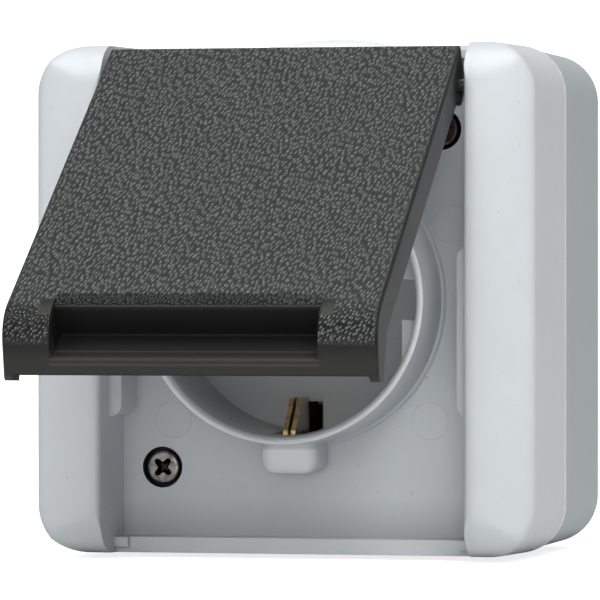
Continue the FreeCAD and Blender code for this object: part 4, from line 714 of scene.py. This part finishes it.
def screw_mesh():
    """Two pan head screws with a cross recess, turned about their axes, in one mesh."""
    made = bmesh.new()
    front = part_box("cover_screws")[0][1]
    seat = front + HEAD_HEIGHT
    bends = [math.pi / 2 * i / ROUND_STEPS for i in range(ROUND_STEPS + 1)]
    profile = [(HEAD_RADIUS - HEAD_ROUND + HEAD_ROUND * math.sin(bend),
                front + HEAD_ROUND - HEAD_ROUND * math.cos(bend)) for bend in bends]
    profile += [(HEAD_RADIUS, seat), (SHANK_RADIUS, seat), (SHANK_RADIUS, seat + SHANK_LENGTH)]
    arm, wide, root = sizes().cross_reach, sizes().cross_width / 2, sizes().cross_width * 0.66
    tip = ((root, -root), (arm - wide * 0.6, -wide), (arm, -wide * 0.5), (arm, wide * 0.5),
           (arm - wide * 0.6, wide))
    levels = ((1.0, 0.0), (0.93, sizes().cross_depth * 0.15), (0.45, sizes().cross_depth))
    for across, up, angle in SCREWS:
        turns = [2 * math.pi * k / SCREW_STEPS for k in range(SCREW_STEPS)]
        rings = [[made.verts.new((across + r * math.cos(turn), y, up + r * math.sin(turn)))
                  for turn in turns] for r, y in profile]
        for near, far in zip(rings, rings[1:]):
            for k in range(SCREW_STEPS):
                after = (k + 1) % SCREW_STEPS
                made.faces.new((near[k], near[after], far[after], far[k])).smooth = True
        made.faces.new(rings[-1])
        star = []
        for quarter in range(4):
            turn = math.radians(angle + 90 * quarter)
            star += [(along * math.cos(turn) - aside * math.sin(turn),
                      along * math.sin(turn) + aside * math.cos(turn)) for along, aside in tip]
        loops = [[made.verts.new((across + a * grow, front + deep, up + b * grow)) for a, b in star]
                 for grow, deep in levels]
        for near, far in zip(loops, loops[1:]):
            for k in range(len(star)):
                after = (k + 1) % len(star)
                made.faces.new((near[k], far[k], far[after], near[after])).material_index = 1
        made.faces.new(loops[-1]).material_index = 1
        made.edges.ensure_lookup_table()
        edges = [made.edges.get((ring[k], ring[(k + 1) % len(ring)])) for ring in (rings[0], loops[0])
                 for k in range(len(ring))]
        bmesh.ops.triangle_fill(made, use_beauty=True, use_dissolve=False, edges=edges)
    bmesh.ops.recalc_face_normals(made, faces=made.faces)
    mesh = bpy.data.meshes.new("cross_screws")
    made.to_mesh(mesh)
    made.free()
    return mesh


class SOCKET_OT_cover_screws(bpy.types.Operator):
    """Makes the two cover screws with their worn cross recesses, which are painted near black as shade"""

    bl_idname = "socket.cover_screws"
    bl_label = "Cover screws"

    def execute(self, context):
        mesh = screw_mesh()
        mesh.materials.append(metal("Worn zinc", colours().zinc, (0.09, 0.055, 0.035), 0.9,
                                    tinting=rusted_place))
        # Painted shade: the cross recess is painted near black.
        mesh.materials.append(metal("Cross recess", (0.018, 0.014, 0.012), (0.06, 0.035, 0.02), 0.6))
        piece = bpy.data.objects.new("cross_screws", mesh)
        context.scene.collection.objects.link(piece)
        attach(piece, "housing")
        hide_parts("cover_screws")
        return {"FINISHED"}


class SOCKET_OT_torsion_spring(bpy.types.Operator):
    """Makes the lid's torsion spring as a copy of the model's spring, in spring steel"""

    bl_idname = "socket.torsion_spring"
    bl_label = "Torsion spring"

    def execute(self, context):
        mesh = NODES["lid_spring"].data.copy()
        mesh.name = "torsion_spring"
        mesh.materials.clear()
        mesh.materials.append(metal("Spring steel", colours().spring, (0.25, 0.22, 0.2), 0.3, edge=0.2))
        piece = bpy.data.objects.new("torsion_spring", mesh)
        context.scene.collection.objects.link(piece)
        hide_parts("lid_spring")
        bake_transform(piece)
        return {"FINISHED"}


def ring_tree():
    """Places one thin ring, lying on the recess floor, at each point of a mesh."""
    tree = bpy.data.node_groups.new("Pin rings", "GeometryNodeTree")
    ports = {}
    for label, kind in (("Geometry", "NodeSocketGeometry"), ("Radius", FLOAT), ("Line", FLOAT),
                        ("Material", "NodeSocketMaterial")):
        ports[label] = tree.interface.new_socket(label, in_out="INPUT", socket_type=kind).identifier
    tree.interface.new_socket("Geometry", in_out="OUTPUT", socket_type="NodeSocketGeometry")
    w = Wiring(tree)
    given = w.node("NodeGroupInput").outputs
    path = w.node("GeometryNodeCurvePrimitiveCircle", Resolution=48, Radius=given["Radius"])
    section = w.node("GeometryNodeCurvePrimitiveCircle", Resolution=8, Radius=given["Line"])
    ring = w.node("GeometryNodeCurveToMesh", Curve=path.outputs["Curve"],
                  Profile_Curve=section.outputs["Curve"])
    placed = w.node("GeometryNodeInstanceOnPoints", Points=given["Geometry"],
                    Instance=ring.outputs["Mesh"], Rotation=(math.pi / 2, 0.0, 0.0))
    real = w.node("GeometryNodeRealizeInstances", Geometry=placed.outputs["Instances"])
    finished = w.node("GeometryNodeSetMaterial", Geometry=real.outputs["Geometry"],
                      Material=given["Material"])
    w.feed(w.node("NodeGroupOutput").inputs["Geometry"], finished.outputs["Geometry"])
    return tree, ports


def from_nodes(name, points, tree, ports, values, material):
    """The plain mesh that a tree makes from points, as a new object at the origin."""
    seeds = bpy.data.meshes.new(name + "_seeds")
    seeds.from_pydata(points, [], [])
    holder = bpy.data.objects.new(name + "_seeds", seeds)
    bpy.context.scene.collection.objects.link(holder)
    modifier = holder.modifiers.new("Nodes", "NODES")
    modifier.node_group = tree
    for label, value in {**values, "Material": material}.items():
        modifier[ports[label]] = value
    bpy.context.view_layer.update()
    graph = bpy.context.evaluated_depsgraph_get()
    mesh = bpy.data.meshes.new_from_object(holder.evaluated_get(graph))
    holder.modifiers.remove(modifier)
    bpy.data.objects.remove(holder)
    if not mesh.polygons:
        raise RuntimeError(name + " came out empty")
    mesh.name = name
    piece = bpy.data.objects.new(name, mesh)
    bpy.context.scene.collection.objects.link(piece)
    return piece


class SOCKET_OT_ejector_marks(bpy.types.Operator):
    """Lays the faint raised rings of the ejector pins on the recess floor"""

    bl_idname = "socket.ejector_marks"
    bl_label = "Ejector marks"

    def execute(self, context):
        line = sizes().pin_mark_line / 2
        level = RECESS_FLOOR + line - sizes().pin_mark_rise
        spots = [(side * across, level, up) for across, up in MARKS for side in (-1, 1)]
        tree, ports = ring_tree()
        piece = from_nodes("ejector_marks", spots, tree, ports,
                           {"Radius": sizes().pin_mark_radius, "Line": line},
                           plastic("Mark plastic", [c * 0.94 for c in colours().cover], edge=0.2))
        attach(piece, "housing")
        return {"FINISHED"}


def area_light(name, place, strength):
    """A square soft light that faces the part."""
    light = bpy.data.lights.new(name, "AREA")
    light.shape = "SQUARE"
    light.size = LIGHT_WIDTH
    light.energy = strength
    holder = bpy.data.objects.new(name, light)
    holder.location = place
    holder.rotation_euler = (-Vector(place)).to_track_quat("-Z", "Y").to_euler()
    bpy.context.scene.collection.objects.link(holder)


def paper_floor():
    """The mesh of a floor that lies just below the part and curves up behind it."""
    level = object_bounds()[0][2] - FLOOR_GAP
    made = bmesh.new()
    profile = [(FLOOR_FRONT, 0.0), (FLOOR_MIDDLE, 0.0), (0.0, 0.0), (FLOOR_BACK - FLOOR_BEND, 0.0)]
    for i in range(1, BEND_STEPS + 1):
        angle = math.pi / 2 * i / BEND_STEPS
        profile.append((FLOOR_BACK - FLOOR_BEND + FLOOR_BEND * math.sin(angle),
                        FLOOR_BEND - FLOOR_BEND * math.cos(angle)))
    profile.append((FLOOR_BACK, FLOOR_TOP))
    left = [made.verts.new((-FLOOR_HALF, y, level + z)) for y, z in profile]
    right = [made.verts.new((FLOOR_HALF, y, level + z)) for y, z in profile]
    for i in range(len(profile) - 1):
        made.faces.new((left[i], right[i], right[i + 1], left[i + 1]))
    mesh = bpy.data.meshes.new("studio_floor")
    made.to_mesh(mesh)
    made.free()
    mesh.polygons.foreach_set("use_smooth", [True] * len(mesh.polygons))
    return mesh


class SOCKET_OT_studio(bpy.types.Operator):
    """Builds the pale floor that curves up behind, the soft lights, and the camera"""

    bl_idname = "socket.studio"
    bl_label = "Studio"

    def execute(self, context):
        scene = context.scene
        scene.view_settings.view_transform = "Standard"
        floor = bpy.data.objects.new("studio_floor", paper_floor())
        scene.collection.objects.link(floor)
        material, w, ends = new_material("Studio paper")
        cloud = w.noise(w.place(), 3.0, 2.0)
        w.feed(ends["Base Color"], w.mix(cloud, (0.90, 0.90, 0.90, 1.0), (0.94, 0.94, 0.94, 1.0)))
        ends["Roughness"].default_value = 0.9
        ends["Emission Color"].default_value = (1.0, 1.0, 1.0, 1.0)
        seen = w.node("ShaderNodeLightPath").outputs["Is Camera Ray"]
        w.feed(ends["Emission Strength"], w.range(seen, 0.0, 0.8))
        floor.data.materials.append(material)
        floor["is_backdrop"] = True

        world = bpy.data.worlds.new("Studio surroundings")
        world.use_nodes = True
        surroundings = world.node_tree.nodes["Background"].inputs
        surroundings["Color"].default_value = (1.0, 1.0, 1.0, 1.0)
        surroundings["Strength"].default_value = scene.socket_studio.white
        scene.world = world
        for name, strength, place in LIGHTS:
            area_light(name, place, getattr(scene.socket_studio, strength))

        lens = bpy.data.cameras.new("Camera")
        lens.lens = CAMERA_LENS
        lens.sensor_width = 36.0
        lens.sensor_fit = "HORIZONTAL"
        lens.shift_x, lens.shift_y = CAMERA_SHIFT
        lens.clip_start = 0.05
        lens.clip_end = 20.0
        level = math.cos(CAMERA_LIFT)
        away = Vector((math.sin(CAMERA_TURN) * level, -math.cos(CAMERA_TURN) * level,
                       math.sin(CAMERA_LIFT)))
        camera = bpy.data.objects.new("Camera", lens)
        camera.location = CAMERA_TARGET + away * CAMERA_REACH
        camera.rotation_euler = (-away).to_track_quat("-Z", "Y").to_euler()
        scene.collection.objects.link(camera)
        scene.camera = camera
        return {"FINISHED"}


class SOCKET_PT_parts(bpy.types.Panel):
    """Lists the finishes, the marks and the studio"""

    bl_label = "Socket"
    bl_idname = "SOCKET_PT_parts"
    bl_space_type = "VIEW_3D"
    bl_region_type = "UI"
    bl_category = "Socket"

    def draw(self, context):
        for operator in OPERATORS:
            self.layout.operator(operator.bl_idname)
        for holder in ("socket_sizes", "socket_colours", "socket_studio"):
            values = getattr(context.scene, holder)
            for name in values.bl_rna.properties.keys():
                if name not in ("rna_type", "name"):
                    self.layout.prop(values, name)


GROUPS = (SocketSizes, SocketColours, SocketStudio)
OPERATORS = (SOCKET_OT_cover_finish, SOCKET_OT_lid_finish, SOCKET_OT_inner_finish,
             SOCKET_OT_metal_finish, SOCKET_OT_cover_screws, SOCKET_OT_torsion_spring,
             SOCKET_OT_ejector_marks, SOCKET_OT_studio)


def register():
    for kind in (*GROUPS, *OPERATORS, SOCKET_PT_parts):
        bpy.utils.register_class(kind)
    bpy.types.Scene.socket_sizes = bpy.props.PointerProperty(type=SocketSizes)
    bpy.types.Scene.socket_colours = bpy.props.PointerProperty(type=SocketColours)
    bpy.types.Scene.socket_studio = bpy.props.PointerProperty(type=SocketStudio)


def unregister():
    del bpy.types.Scene.socket_studio
    del bpy.types.Scene.socket_colours
    del bpy.types.Scene.socket_sizes
    for kind in reversed((*GROUPS, *OPERATORS, SOCKET_PT_parts)):
        bpy.utils.unregister_class(kind)


def main():
    register()
    for operator in OPERATORS:
        family, name = operator.bl_idname.split(".")
        getattr(getattr(bpy.ops, family), name)()


if __name__ == "__main__":
    main()
